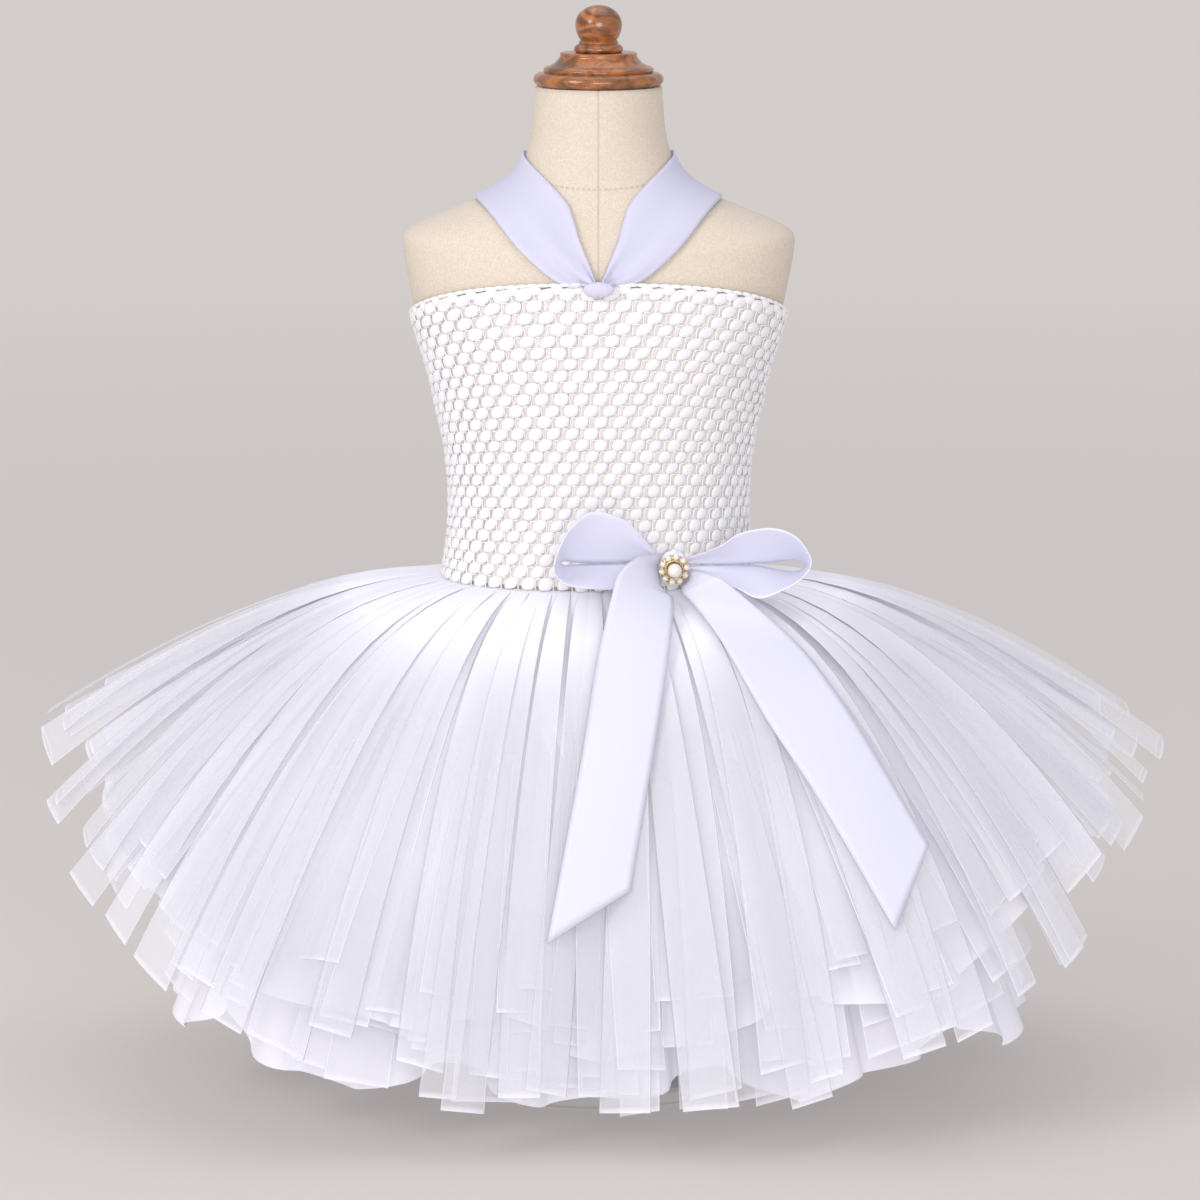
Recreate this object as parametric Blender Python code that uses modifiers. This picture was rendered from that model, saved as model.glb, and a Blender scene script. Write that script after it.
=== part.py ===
"""Child's tutu dress on a limbless dress form.

A crochet tube bodice is held up by a satin halter that is tied at the nape. Strips of tulle are knotted
along the bodice's lower edge in three rows, and a satin bow with two long tails and a pearl brooch sits
at the front of the waist. The form is a linen torso with a turned wooden neck cap, on a post and a disc.

Metres, +Z up, the front faces -Y and +X is on the viewer's right. The origin is on the floor, at the
centre of the disc. An azimuth is an angle about +Z: 0 at the front, 90 at +X, 180 at the back.
"""

from math import cos, hypot, pi, radians, sin

import bmesh
import bpy
from mathutils import Vector
from mathutils.bvhtree import BVHTree

# ---------------------------------------------------------------- driving dimensions
SEAM_GAP = 0.0003           # left between pieces that touch

BASE_RADIUS = 0.078
BASE_THICKNESS = 0.009
BASE_EDGE = 0.002
POST_RADIUS = 0.011
TORSO_BOTTOM = 0.130
NECK_TOP = 0.5665
BODY_SIDES = 32             # facets round the torso and the bodice

BODICE_BOTTOM = 0.2920
BODICE_TOP = 0.4370         # at the sides and the back
BODICE_LIFT = 0.0240        # how far the halter pulls the top edge up at the front
BODICE_WALL = 0.0025
BODICE_CLEARANCE = 0.0008   # between the crochet and the linen
BODICE_FLARE = 0.0016       # the lower edge stands out over the tulle knots
BODICE_ROWS = 6
FLARE_SHARE = 0.25          # of its height, over which the lower edge flares

RIBBON_WIDTH = 0.038
RIBBON_WALL = 0.0010
RIBBON_POINTS = 5           # across a ribbon
SATIN_SHARP = 60            # degrees at which an edge of the satin is shaded sharp
KNOTTED_WIDTH = 0.0080      # a strap's width where it enters a knot
STRAP_LIFT = 0.0014         # from the linen to the strap's inner face

TULLE_WALL = 0.0010
TULLE_CLEARANCE = 0.0016    # from the linen to the middle of a row's rim
RISE_OUT = 0.45             # a strip's profile is a curve with its corner at these shares
RISE_DOWN = 0.06            # of its reach and its drop
STAGGER = 0.050             # share of its length by which the shortest strip falls short
HEM_CROWDING = 1.3          # the stretches of a strip get longer towards its hem
TULLE_SHARP = 25            # degrees at which a pleat is shaded sharp
RIGHT_SIDE_REACH = 0.007    # the strips on the right lie a little further out
RIGHT_SIDE_DROP = 0.013     # and lower than those on the left
RIGHT_SIDE_AZIMUTH = 112
RIGHT_SIDE_SPAN = 50

FRONT_GATHER = 0.34         # shares of a strap over which it widens from the front knot
NAPE_GATHER = 0.16          # and narrows to the nape knot
STRAP_POINTS = 17           # along a strap
FRONT_KNOT_SIZE = (0.0170, 0.0090, 0.0110)   # width, depth and height
FRONT_KNOT_HEIGHT = 0.4605
NAPE_KNOT_SIZE = (0.0220, 0.0100, 0.0200)
NAPE_KNOT_HEIGHT = 0.5215
NAPE_TAIL_LENGTH = 0.0600
NAPE_TAIL_TOP = 0.5115
NAPE_TAIL_INSET = 0.0012    # from the back's middle to a nape tail's inner edge at its top
NAPE_TAIL_DRIFT = 0.0040    # and how far that edge moves out towards the tail's end
NAPE_TAIL_SLANT = 0.2       # share of its length by which its outer edge is cut short
KNOT_SEGMENTS = 16
KNOT_RINGS = 8

BOW_AZIMUTH = 26.4          # of the bow's centre, on the bodice
BOW_HEIGHT = 0.3050
BOW_FACING = 5              # the azimuth that the knot and the brooch look towards
BOW_KNOT_SIZE = (0.0150, 0.0110, 0.0190)
LOOP_POINTS = 19            # along a loop
LOOP_CROWN = 0.0008         # how far a loop's middle stands proud of its edges
TAIL_POINTS = 15            # along a tail
TAIL_CROWN = 0.0010
BROOCH_RADIUS = 0.0088
BROOCH_THICKNESS = 0.0022
BROOCH_RECESS = 0.0010      # depth of the dish that holds the large pearl
PEARL_RADIUS = 0.0040

# ---------------------------------------------------------------- tables
# The torso's level sections: height, half width, half depth, and the exponent of the superellipse.
TORSO_SECTIONS = (
    (0.1300, 0.0800, 0.0570, 2.2),
    (0.1360, 0.0890, 0.0650, 2.2),
    (0.1500, 0.0950, 0.0700, 2.2),
    (0.1850, 0.0985, 0.0730, 2.2),
    (0.2250, 0.0960, 0.0715, 2.2),
    (0.2600, 0.0890, 0.0655, 2.2),
    (0.2900, 0.0840, 0.0608, 2.2),
    (0.3200, 0.0815, 0.0592, 2.2),
    (0.3430, 0.0815, 0.0598, 2.2),
    (0.3640, 0.0836, 0.0615, 2.2),
    (0.3850, 0.0878, 0.0637, 2.2),
    (0.4100, 0.0935, 0.0660, 2.3),
    (0.4350, 0.1012, 0.0676, 2.4),
    (0.4600, 0.1065, 0.0665, 2.5),
    (0.4780, 0.1095, 0.0615, 2.6),
    (0.4850, 0.1085, 0.0575, 2.6),
    (0.4910, 0.0990, 0.0540, 2.5),
    (0.4980, 0.0825, 0.0505, 2.3),
    (0.5060, 0.0640, 0.0470, 2.1),
    (0.5150, 0.0500, 0.0440, 2.0),
    (0.5260, 0.0420, 0.0410, 2.0),
    (0.5400, 0.0378, 0.0378, 2.0),
    (0.5665, 0.0353, 0.0353, 2.0),
)

# The turned neck cap: a flattened knob, then the outline from the knob's foot down: radius, height.
KNOB_RADIUS = 0.01305
KNOB_MIDDLE = 0.6012        # height of its widest level
KNOB_RISE = 0.0106          # from its widest level to its top
KNOB_FALL = 0.0143          # the longer half axis below its widest level
KNOB_FOOT = 38.6            # degrees below the widest level where the knob ends
KNOB_STEPS_ABOVE = 5
KNOB_STEPS_BELOW = 2
CAP_OUTLINE = (
    (0.0112, 0.5911),
    (0.0109, 0.5904),
    (0.0130, 0.5893),
    (0.0138, 0.5874),
    (0.0126, 0.5857),
    (0.0206, 0.5854),
    (0.0217, 0.5844),
    (0.0216, 0.5830),
    (0.0249, 0.5793),
    (0.0300, 0.5772),
    (0.0309, 0.5757),
    (0.0303, 0.5745),
    (0.0340, 0.5739),
    (0.0362, 0.5716),
    (0.0363, 0.5692),
    (0.0345, 0.5670),
)
CAP_STEPS = 22

# How far each row's strips reach out from the waist and drop below it, by azimuth.
# azimuth, outer reach, outer drop, middle reach, middle drop, inner reach, inner drop
SKIRT_FAN = (
    (0, 0.130, 0.280, 0.110, 0.266, 0.090, 0.250),
    (25, 0.158, 0.263, 0.134, 0.256, 0.108, 0.247),
    (45, 0.205, 0.231, 0.172, 0.234, 0.132, 0.240),
    (70, 0.212, 0.178, 0.182, 0.205, 0.145, 0.232),
    (90, 0.224, 0.138, 0.190, 0.184, 0.150, 0.228),
    (112, 0.252, 0.098, 0.206, 0.155, 0.158, 0.220),
    (135, 0.222, 0.150, 0.186, 0.190, 0.148, 0.228),
    (158, 0.174, 0.228, 0.148, 0.230, 0.120, 0.234),
    (180, 0.150, 0.258, 0.127, 0.250, 0.103, 0.240),
)
# The rows of strips: name, first column in SKIRT_FAN, rim height, strips, pleat height at the waist
# and at the hem, and the number of stretches along a strip.
SKIRT_ROWS = (
    ("tulle_outer", 1, 0.2904, 56, 0.0006, 0.0055, 4),
    ("tulle_middle", 3, 0.2848, 40, 0.0006, 0.0046, 4),
    ("tulle_inner", 5, 0.2790, 32, 0.0006, 0.0040, 3),
)
# One strip across: place in the strip's share of the rim, side of the row that it stands on.
STRIP_SECTION = ((0.10, 1), (0.45, 1), (0.60, -1), (0.95, -1))
# Two waves that make the strips' lengths uneven: weight, turn for each strip, start, in radians.
STRIP_WAVES = ((0.6, 2.4, 0.0), (0.4, 5.3, 1.0))

# The halter's centre line on the right, from the front knot round to the nape: x, y, height.
HALTER_ROUTE = (
    (0.0048, -0.0700, 0.4670),
    (0.0105, -0.0690, 0.4730),
    (0.0250, -0.0600, 0.4870),
    (0.0410, -0.0380, 0.5040),
    (0.0530, -0.0080, 0.5160),
    (0.0520, 0.0220, 0.5180),
    (0.0380, 0.0400, 0.5215),
    (0.0210, 0.0450, 0.5235),
    (0.0085, 0.0460, 0.5245),
)
# A nape tail spreads from its knot: share along it, width there as a share of the ribbon's.
NAPE_TAIL_SPREAD = ((0.0, 0.20), (0.2, 0.42), (0.45, 0.80), (0.7, 1.0), (1.0, 1.0))
# The bow is set out from its centre on the bodice, in millimetres: along the waist away from the knot
# (or to the right, for a tail), up, and out from the cloth. A loop runs from the top of the knot out
# to its tip and back, and lies open towards the front.
# near edge: along, up, out; far edge: along, up, out
BOW_LOOPS = {
    "bow_loop_left": (
        (8.0, 6.0, 7.5, 8.0, 2.2, 3.5),
        (22.3, 24.6, 22.0, 22.0, 5.5, 5.5),
        (32.0, 31.9, 28.5, 32.0, 5.0, 7.5),
        (45.0, 35.0, 33.0, 45.0, 4.5, 9.0),
        (55.3, 28.4, 38.0, 54.0, 4.7, 10.5),
        (62.0, 18.4, 42.0, 60.5, 5.0, 11.5),
        (66.1, 6.0, 46.0, 62.5, 3.2, 12.0),
        (63.0, -0.8, 45.0, 59.5, 1.5, 11.5),
        (56.0, -4.8, 43.0, 54.0, 1.0, 10.5),
        (45.0, -6.9, 38.0, 45.0, 0.8, 9.0),
        (30.0, -9.2, 25.0, 30.0, 0.4, 7.0),
        (16.0, -6.0, 14.0, 16.0, -0.4, 5.0),
        (8.0, -1.8, 7.0, 8.0, -1.4, 3.5),
    ),
    "bow_loop_right": (
        (7.8, 4.9, 7.5, 7.8, 2.0, 3.0),
        (25.0, 14.5, 24.0, 25.0, 3.6, 2.0),
        (36.0, 22.4, 30.0, 36.0, 3.2, 0.0),
        (52.0, 25.7, 31.0, 52.0, 2.4, -4.0),
        (64.0, 22.6, 30.0, 62.0, 2.2, -6.5),
        (71.5, 15.6, 29.5, 69.6, 1.6, -8.0),
        (75.5, 6.2, 29.0, 73.5, -0.6, -8.5),
        (71.0, -1.9, 29.0, 70.0, -4.0, -8.0),
        (62.0, -8.0, 29.0, 60.0, -4.4, -6.0),
        (47.0, -13.5, 29.5, 47.0, -2.6, -3.0),
        (34.0, -8.5, 24.0, 34.0, -1.4, 0.0),
        (20.0, -3.7, 15.0, 20.0, -1.0, 2.5),
        (7.8, -1.4, 7.0, 7.8, -1.2, 3.0),
    ),
}
# The tails leave the knot sideways and turn down: left edge, then right edge, set out as above.
TAILS_AT_KNOT = {
    "bow_tail_left": (
        (-9.2, 8.0, 10.2, -9.2, -5.6, 9.6),
        (-20.0, 8.5, 24.0, -6.5, -9.4, 17.0),
        (-29.0, 2.7, 34.0, -2.5, -12.0, 22.0),
        (-33.0, -7.0, 40.0, -0.5, -17.0, 27.0),
    ),
    "bow_tail_right": (
        (4.4, -11.4, 8.0, 9.6, -0.4, 9.0),
        (5.0, -13.0, 17.0, 20.0, -1.0, 24.0),
        (9.0, -16.0, 23.0, 31.0, -6.6, 31.0),
    ),
}
# Then they lie on the outer row: azimuth and share of the left edge, then of the right edge.
TAILS_ON_SKIRT = {
    "bow_tail_left": (
        (-0.3, 0.32, 15.6, 0.30),
        (-3.0, 0.53, 10.4, 0.49),
        (-7.4, 0.79, 4.7, 0.72),
    ),
    "bow_tail_right": (
        (29.0, 0.29, 45.0, 0.32),
        (31.8, 0.48, 45.8, 0.47),
        (35.3, 0.63, 46.5, 0.61),
        (39.1, 0.83, 47.5, 0.74),
    ),
}
TAIL_LIFT = 0.0080          # from the middle of the outer row to a tail

# ---------------------------------------------------------------- materials
# name: colour, roughness, metallic
FINISHES = {
    "linen": ((0.86, 0.77, 0.66), 0.85, 0.0),
    "turned_wood": ((0.32, 0.13, 0.05), 0.25, 0.0),
    "white_paint": ((0.86, 0.85, 0.84), 0.40, 0.0),
    "crochet": ((0.90, 0.90, 0.94), 0.80, 0.0),
    "satin": ((0.80, 0.80, 0.93), 0.30, 0.0),
    "tulle": ((0.87, 0.87, 0.95), 0.70, 0.0),
    "gilt": ((0.80, 0.62, 0.36), 0.25, 1.0),
    "pearl": ((0.92, 0.88, 0.82), 0.20, 0.0),
}


def clear_scene():
    """Remove every object, so that the script can be run again."""
    for old in list(bpy.data.objects):
        bpy.data.objects.remove(old, do_unlink=True)


def make_finish(name):
    """A Principled material in one of the listed finishes."""
    colour, roughness, metallic = FINISHES[name]
    material = bpy.data.materials.new(name)
    material.use_nodes = True
    shader = material.node_tree.nodes["Principled BSDF"]
    shader.inputs["Base Color"].default_value = (*colour, 1.0)
    shader.inputs["Roughness"].default_value = roughness
    shader.inputs["Metallic"].default_value = metallic
    material.diffuse_color = (*colour, 1.0)
    return material


def new_object(name, mesh, finish, sharp_degrees=40):
    """Link a mesh as a named, smooth-shaded object in the part's collection."""
    mesh.shade_smooth()
    mesh.set_sharp_from_angle(angle=radians(sharp_degrees))
    mesh.materials.append(materials[finish])
    piece = bpy.data.objects.new(name, mesh)
    collection.objects.link(piece)
    return piece


def solidify(piece, thickness, offset):
    """Give an open sheet its wall: half on each side at offset 0, and all inside it at offset -1."""
    wall = piece.modifiers.new("wall", "SOLIDIFY")
    wall.thickness = thickness
    wall.offset = offset
    wall.use_even_offset = True
    return wall


# ---------------------------------------------------------------- curves and surfaces
def table_value(rows, key, column):
    """A column's value at a key, on a smooth curve through the rows."""
    last = len(rows) - 1
    index = 0
    while index < last - 1 and key > rows[index + 1][0]:
        index += 1
    low, high = rows[index], rows[index + 1]
    share = min(max((key - low[0]) / (high[0] - low[0]), 0.0), 1.0)
    before = rows[max(index - 1, 0)]
    after = rows[min(index + 2, last)]
    run = high[0] - low[0]
    slope_low = (high[column] - before[column]) / (high[0] - before[0]) * run
    slope_high = (after[column] - low[column]) / (after[0] - low[0]) * run
    a = 2 * low[column] - 2 * high[column] + slope_low + slope_high
    b = 3 * high[column] - 3 * low[column] - 2 * slope_low - slope_high
    return ((a * share + b) * share + slope_low) * share + low[column]


def smooth_route(points, count):
    """Evenly numbered points on a smooth curve through the given ones."""
    rows = [(index, *point) for index, point in enumerate(points)]
    columns = range(1, len(rows[0]))
    keys = [(len(points) - 1) * step / (count - 1) for step in range(count)]
    return [tuple(table_value(rows, key, column) for column in columns) for key in keys]


def torso_point(height, azimuth, out=0.0):
    """A point on the torso's skin, or moved out from it, at a height and an azimuth in degrees."""
    half_width = table_value(TORSO_SECTIONS, height, 1) + out
    half_depth = table_value(TORSO_SECTIONS, height, 2) + out
    power = 2 / table_value(TORSO_SECTIONS, height, 3)
    side = sin(radians(azimuth))
    front = cos(radians(azimuth))
    x = half_width * abs(side) ** power * (1 if side >= 0 else -1)
    y = half_depth * abs(front) ** power * (-1 if front >= 0 else 1)
    return Vector((x, y, height))


def strip_reach_and_drop(azimuth, column):
    """How far a row's strips reach out and drop at an azimuth, with the right side's own spread."""
    turned = (azimuth + 180) % 360 - 180
    reach = table_value(SKIRT_FAN, abs(turned), column)
    drop = table_value(SKIRT_FAN, abs(turned), column + 1)
    distance = min(abs(turned - RIGHT_SIDE_AZIMUTH) / RIGHT_SIDE_SPAN, 1.0)
    spread = (1 + cos(pi * distance)) / 2
    return reach + RIGHT_SIDE_REACH * spread, drop + RIGHT_SIDE_DROP * spread


def skirt_point(azimuth, share, column, rim_height, out=0.0):
    """A point on a row of strips: share 0 at the rim and 1 at the hem, moved out along its normal."""
    reach, drop = strip_reach_and_drop(azimuth, column)
    bend = 2 * share * (1 - share)
    away = reach * (RISE_OUT * bend + share * share)
    down = drop * (RISE_DOWN * bend + share * share)
    away_slope = reach * (RISE_OUT * (1 - 2 * share) + share)
    down_slope = drop * (RISE_DOWN * (1 - 2 * share) + share)
    steepness = hypot(away_slope, down_slope)
    away += out * down_slope / steepness
    down -= out * away_slope / steepness
    rim = torso_point(rim_height, azimuth, TULLE_CLEARANCE)
    return rim + Vector((away * sin(radians(azimuth)), -away * cos(radians(azimuth)), -down))


def loft(name, rings, finish, closed=True, capped=False, sharp_degrees=40):
    """Join rows of points, each as long as the next, into a skin; capped closes both end rings."""
    shape = bmesh.new()
    rows = [[shape.verts.new(point) for point in ring] for ring in rings]
    count = len(rows[0])
    stretches = count if closed else count - 1
    for lower, upper in zip(rows, rows[1:]):
        for index in range(stretches):
            following = (index + 1) % count
            shape.faces.new((lower[index], lower[following], upper[following], upper[index]))
    if capped:
        shape.faces.new(list(reversed(rows[0])))
        shape.faces.new(rows[-1])
    mesh = bpy.data.meshes.new(name)
    shape.to_mesh(mesh)
    shape.free()
    return new_object(name, mesh, finish, sharp_degrees)


def turned(name, outline, finish, steps):
    """A turned piece about the vertical axis: its outline runs down the +X side, on the axis at both ends."""
    shape = bmesh.new()
    points = [shape.verts.new((radius, 0, height)) for radius, height in outline]
    for upper, lower in zip(points, points[1:]):
        shape.edges.new((upper, lower))
    mesh = bpy.data.meshes.new(name)
    shape.to_mesh(mesh)
    shape.free()
    piece = new_object(name, mesh, finish)
    screw = piece.modifiers.new("turning", "SCREW")
    screw.steps = steps
    screw.render_steps = steps
    screw.use_merge_vertices = True
    screw.merge_threshold = 0.00001
    return piece


def ribbon(name, left_edge, right_edge, crown, count):
    """A satin band between two edges, each a row of points; crown is how far its middle stands proud."""
    left = [Vector(point) for point in smooth_route(left_edge, count)]
    right = [Vector(point) for point in smooth_route(right_edge, count)]
    rings = []
    for index in range(count):
        before = max(index - 1, 0)
        after = min(index + 1, count - 1)
        across = right[index] - left[index]
        along = left[after] + right[after] - left[before] - right[before]
        normal = along.cross(across).normalized()
        ring = []
        for step in range(RIBBON_POINTS):
            share = step / (RIBBON_POINTS - 1)
            ring.append(left[index] + across * share + normal * (4 * crown * share * (1 - share)))
        rings.append(ring)
    solidify(loft(name, rings, "satin", closed=False, sharp_degrees=SATIN_SHARP), RIBBON_WALL, 0)


# ---------------------------------------------------------------- the dress form
def adopt_primitive(name, finish):
    """Name the primitive that was just added, and move it into the part's collection."""
    piece = bpy.context.active_object
    piece.name = name
    piece.data.name = name
    piece.data.shade_smooth()
    piece.data.set_sharp_from_angle(angle=radians(40))
    piece.data.materials.append(materials[finish])
    for holder in list(piece.users_collection):
        holder.objects.unlink(piece)
    collection.objects.link(piece)
    return piece


def make_base():
    """The disc that the form stands on, with an eased edge."""
    bpy.ops.mesh.primitive_cylinder_add(
        vertices=40, radius=BASE_RADIUS, depth=BASE_THICKNESS, location=(0, 0, BASE_THICKNESS / 2))
    adopt_primitive("form_base", "white_paint")
    edge = bpy.data.objects["form_base"].modifiers.new("eased edge", "BEVEL")
    edge.width = BASE_EDGE
    edge.segments = 1


def make_post():
    """The post between the disc and the torso."""
    low = BASE_THICKNESS + SEAM_GAP
    high = TORSO_BOTTOM - SEAM_GAP
    bpy.ops.mesh.primitive_cylinder_add(
        vertices=20, radius=POST_RADIUS, depth=high - low, location=(0, 0, (low + high) / 2))
    adopt_primitive("form_post", "white_paint")


def make_torso():
    """The limbless linen torso, from the hips to the top of the neck."""
    rings = []
    for height, *_ in TORSO_SECTIONS:
        azimuths = (360 * step / BODY_SIDES for step in range(BODY_SIDES))
        rings.append([torso_point(height, azimuth) for azimuth in azimuths])
    return loft("form_torso", rings, "linen", capped=True)


def make_cap():
    """The turned wooden neck cap: a knob on a collar, two steps and a round rim."""
    outline = [(0, KNOB_MIDDLE + KNOB_RISE)]
    for step in range(1, KNOB_STEPS_ABOVE + 1):
        angle = radians(90 * (1 - step / KNOB_STEPS_ABOVE))
        outline.append((KNOB_RADIUS * cos(angle), KNOB_MIDDLE + KNOB_RISE * sin(angle)))
    for step in range(1, KNOB_STEPS_BELOW + 1):
        angle = radians(KNOB_FOOT * step / KNOB_STEPS_BELOW)
        outline.append((KNOB_RADIUS * cos(angle), KNOB_MIDDLE - KNOB_FALL * sin(angle)))
    outline.extend(CAP_OUTLINE)
    outline.append((0, NECK_TOP + SEAM_GAP))
    turned("form_cap", outline, "turned_wood", CAP_STEPS)


# ---------------------------------------------------------------- the dress
def bodice_point(azimuth, share):
    """A point on the crochet's outer face: share 0 at the lower edge and 1 at the top edge."""
    top = BODICE_TOP + BODICE_LIFT * max(cos(radians(azimuth)), 0.0)
    flare = BODICE_FLARE * max(1 - share / FLARE_SHARE, 0.0)
    out = BODICE_CLEARANCE + BODICE_WALL + flare
    return torso_point(BODICE_BOTTOM + (top - BODICE_BOTTOM) * share, azimuth, out)


def make_bodice():
    """The crochet tube, worked in the round, with its top edge drawn up at the front."""
    rings = []
    for row in range(BODICE_ROWS + 1):
        azimuths = (360 * step / BODY_SIDES for step in range(BODY_SIDES))
        rings.append([bodice_point(azimuth, row / BODICE_ROWS) for azimuth in azimuths])
    solidify(loft("bodice", rings, "crochet"), BODICE_WALL, -1)


def strip_length(index):
    """A strip's length over the row's full length, which changes from strip to strip."""
    wave = sum(weight * sin(turn * index + start) for weight, turn, start in STRIP_WAVES)
    return 1 - STAGGER * (1 + wave) / 2


def make_skirt_row(name, column, rim_height, strips, waist_pleat, hem_pleat, stretches):
    """One row of knotted tulle strips, as a pleated wall with a pleat for each strip."""
    rings = []
    for step in range(stretches + 1):
        share = (step / stretches) ** HEM_CROWDING
        ring = []
        for strip in range(strips):
            along = share * strip_length(strip)
            pleat = waist_pleat + (hem_pleat - waist_pleat) * share
            for place, side in STRIP_SECTION:
                azimuth = 360 * (strip + place) / strips
                ring.append(skirt_point(azimuth, along, column, rim_height, side * pleat))
        rings.append(ring)
    rings.reverse()
    solidify(loft(name, rings, "tulle", sharp_degrees=TULLE_SHARP), TULLE_WALL, 0)


def strap_width(share):
    """The halter ribbon's width: gathered at both knots, and full over the shoulder."""
    front = min(share / FRONT_GATHER, 1.0)
    back = min((1 - share) / NAPE_GATHER, 1.0)
    spread = min(front, back)
    eased = spread * spread * (3 - 2 * spread)
    return KNOTTED_WIDTH + (RIBBON_WIDTH - KNOTTED_WIDTH) * eased


def make_strap(name, side, skin):
    """One halter ribbon, laid on the torso's skin from the front knot to the nape."""
    route = [Vector((side * x, y, z)) for x, y, z in smooth_route(HALTER_ROUTE, STRAP_POINTS)]
    rings = []
    for index, point in enumerate(route):
        tangent = route[min(index + 1, STRAP_POINTS - 1)] - route[max(index - 1, 0)]
        _, normal, _, _ = skin.find_nearest(point)
        across = normal.cross(tangent).normalized() * (strap_width(index / (STRAP_POINTS - 1)) / 2)
        ring = []
        for step in range(RIBBON_POINTS):
            aside = 2 * step / (RIBBON_POINTS - 1) - 1
            spot, outward, _, _ = skin.find_nearest(point + across * aside)
            ring.append(spot + outward * (STRAP_LIFT + RIBBON_WALL / 2))
        rings.append(ring)
    solidify(loft(name, rings, "satin", closed=False, sharp_degrees=SATIN_SHARP), RIBBON_WALL, 0)


def soft_knot(name, centre, size, facing=0.0):
    """A satin knot: a rounded lump of a full width, depth and height, turned to face an azimuth."""
    bpy.ops.mesh.primitive_uv_sphere_add(
        segments=KNOT_SEGMENTS, ring_count=KNOT_RINGS, radius=0.5, location=centre)
    piece = adopt_primitive(name, "satin")
    piece.scale = size
    piece.rotation_euler.z = radians(facing)


def make_nape_tail(name, side, skin):
    """One free end of the halter ribbon, lying on the back below the nape knot."""
    rings = []
    for share, spread in NAPE_TAIL_SPREAD:
        ring = []
        for step in range(RIBBON_POINTS):
            outwards = step / (RIBBON_POINTS - 1)
            inner = NAPE_TAIL_INSET + NAPE_TAIL_DRIFT * share
            x = side * (inner + spread * RIBBON_WIDTH * outwards)
            height = NAPE_TAIL_TOP - NAPE_TAIL_LENGTH * share * (1 - NAPE_TAIL_SLANT * outwards)
            back = torso_point(height, 180).y
            spot, outward, _, _ = skin.find_nearest(Vector((x, back, height)))
            ring.append(spot + outward * (STRAP_LIFT + RIBBON_WALL / 2))
        rings.append(ring)
    solidify(loft(name, rings, "satin", closed=False, sharp_degrees=SATIN_SHARP), RIBBON_WALL, 0)


def make_halter(torso):
    """Both straps, the knot that gathers them at the front, and the tie at the nape."""
    skin = BVHTree.FromPolygons(
        [vertex.co for vertex in torso.data.vertices],
        [tuple(face.vertices) for face in torso.data.polygons])
    for name, side in (("left", -1), ("right", 1)):
        make_strap("halter_" + name, side, skin)
        make_nape_tail("nape_tail_" + name, side, skin)
    front = torso_point(FRONT_KNOT_HEIGHT, 0, BODICE_CLEARANCE + BODICE_WALL + SEAM_GAP)
    front.y -= FRONT_KNOT_SIZE[1] / 2
    soft_knot("halter_knot", front, FRONT_KNOT_SIZE)
    back = torso_point(NAPE_KNOT_HEIGHT, 180, STRAP_LIFT + RIBBON_WALL + SEAM_GAP)
    back.y += NAPE_KNOT_SIZE[1] / 2
    soft_knot("nape_knot", back, NAPE_KNOT_SIZE)


def bow_centre():
    """The bow's place on the crochet's outer face."""
    share = (BOW_HEIGHT - BODICE_BOTTOM) / (BODICE_TOP + BODICE_LIFT - BODICE_BOTTOM)
    return bodice_point(BOW_AZIMUTH, share)


def bow_edge(rows, first, side):
    """One edge of a bow's ribbon, from its three columns in millimetres."""
    centre = bow_centre()
    return [
        centre + Vector((side * row[first], -row[first + 2], row[first + 1])) / 1000
        for row in rows]


def tail_edge(name, first):
    """One edge of a bow's tail: out of the knot, and then down the outer row of strips."""
    at_knot = bow_edge(TAILS_AT_KNOT[name], 3 * first, 1)
    _, column, rim_height, *_ = SKIRT_ROWS[0]
    on_skirt = [
        skirt_point(row[2 * first], row[2 * first + 1], column, rim_height, TAIL_LIFT)
        for row in TAILS_ON_SKIRT[name]]
    return at_knot + on_skirt


def make_bow():
    """The bow's two loops, its two tails and the wrap round its middle."""
    for name, side in (("bow_loop_left", -1), ("bow_loop_right", 1)):
        rows = BOW_LOOPS[name]
        ribbon(name, bow_edge(rows, 0, side), bow_edge(rows, 3, side), LOOP_CROWN * side, LOOP_POINTS)
    for name in TAILS_AT_KNOT:
        ribbon(name, tail_edge(name, 0), tail_edge(name, 1), TAIL_CROWN, TAIL_POINTS)
    middle = bow_centre()
    middle.y -= BOW_KNOT_SIZE[1] / 2 + 2.5 * SEAM_GAP
    soft_knot("bow_knot", middle, BOW_KNOT_SIZE, BOW_FACING)


def make_brooch():
    """The brooch: a dished gilt disc and the large pearl in it, in front of the bow's knot."""
    facing = Vector((sin(radians(BOW_FACING)), -cos(radians(BOW_FACING)), 0))
    back = bow_centre() + Vector((0, -BOW_KNOT_SIZE[1] - 4 * SEAM_GAP, 0))
    outline = [
        (0, BROOCH_THICKNESS - BROOCH_RECESS),
        (PEARL_RADIUS, BROOCH_THICKNESS - BROOCH_RECESS),
        (PEARL_RADIUS + BROOCH_RECESS, BROOCH_THICKNESS),
        (BROOCH_RADIUS - BROOCH_RECESS, BROOCH_THICKNESS),
        (BROOCH_RADIUS, BROOCH_THICKNESS / 2),
        (BROOCH_RADIUS - BROOCH_RECESS, 0),
        (0, 0)]
    setting = turned("brooch_setting", outline, "gilt", 20)
    setting.location = back
    setting.rotation_euler = facing.to_track_quat("Z", "Y").to_euler()
    bpy.ops.mesh.primitive_uv_sphere_add(segments=14, ring_count=8, radius=PEARL_RADIUS)
    pearl = adopt_primitive("brooch_pearl", "pearl")
    pearl.location = back + facing * (BROOCH_THICKNESS - BROOCH_RECESS + PEARL_RADIUS + SEAM_GAP)


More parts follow.
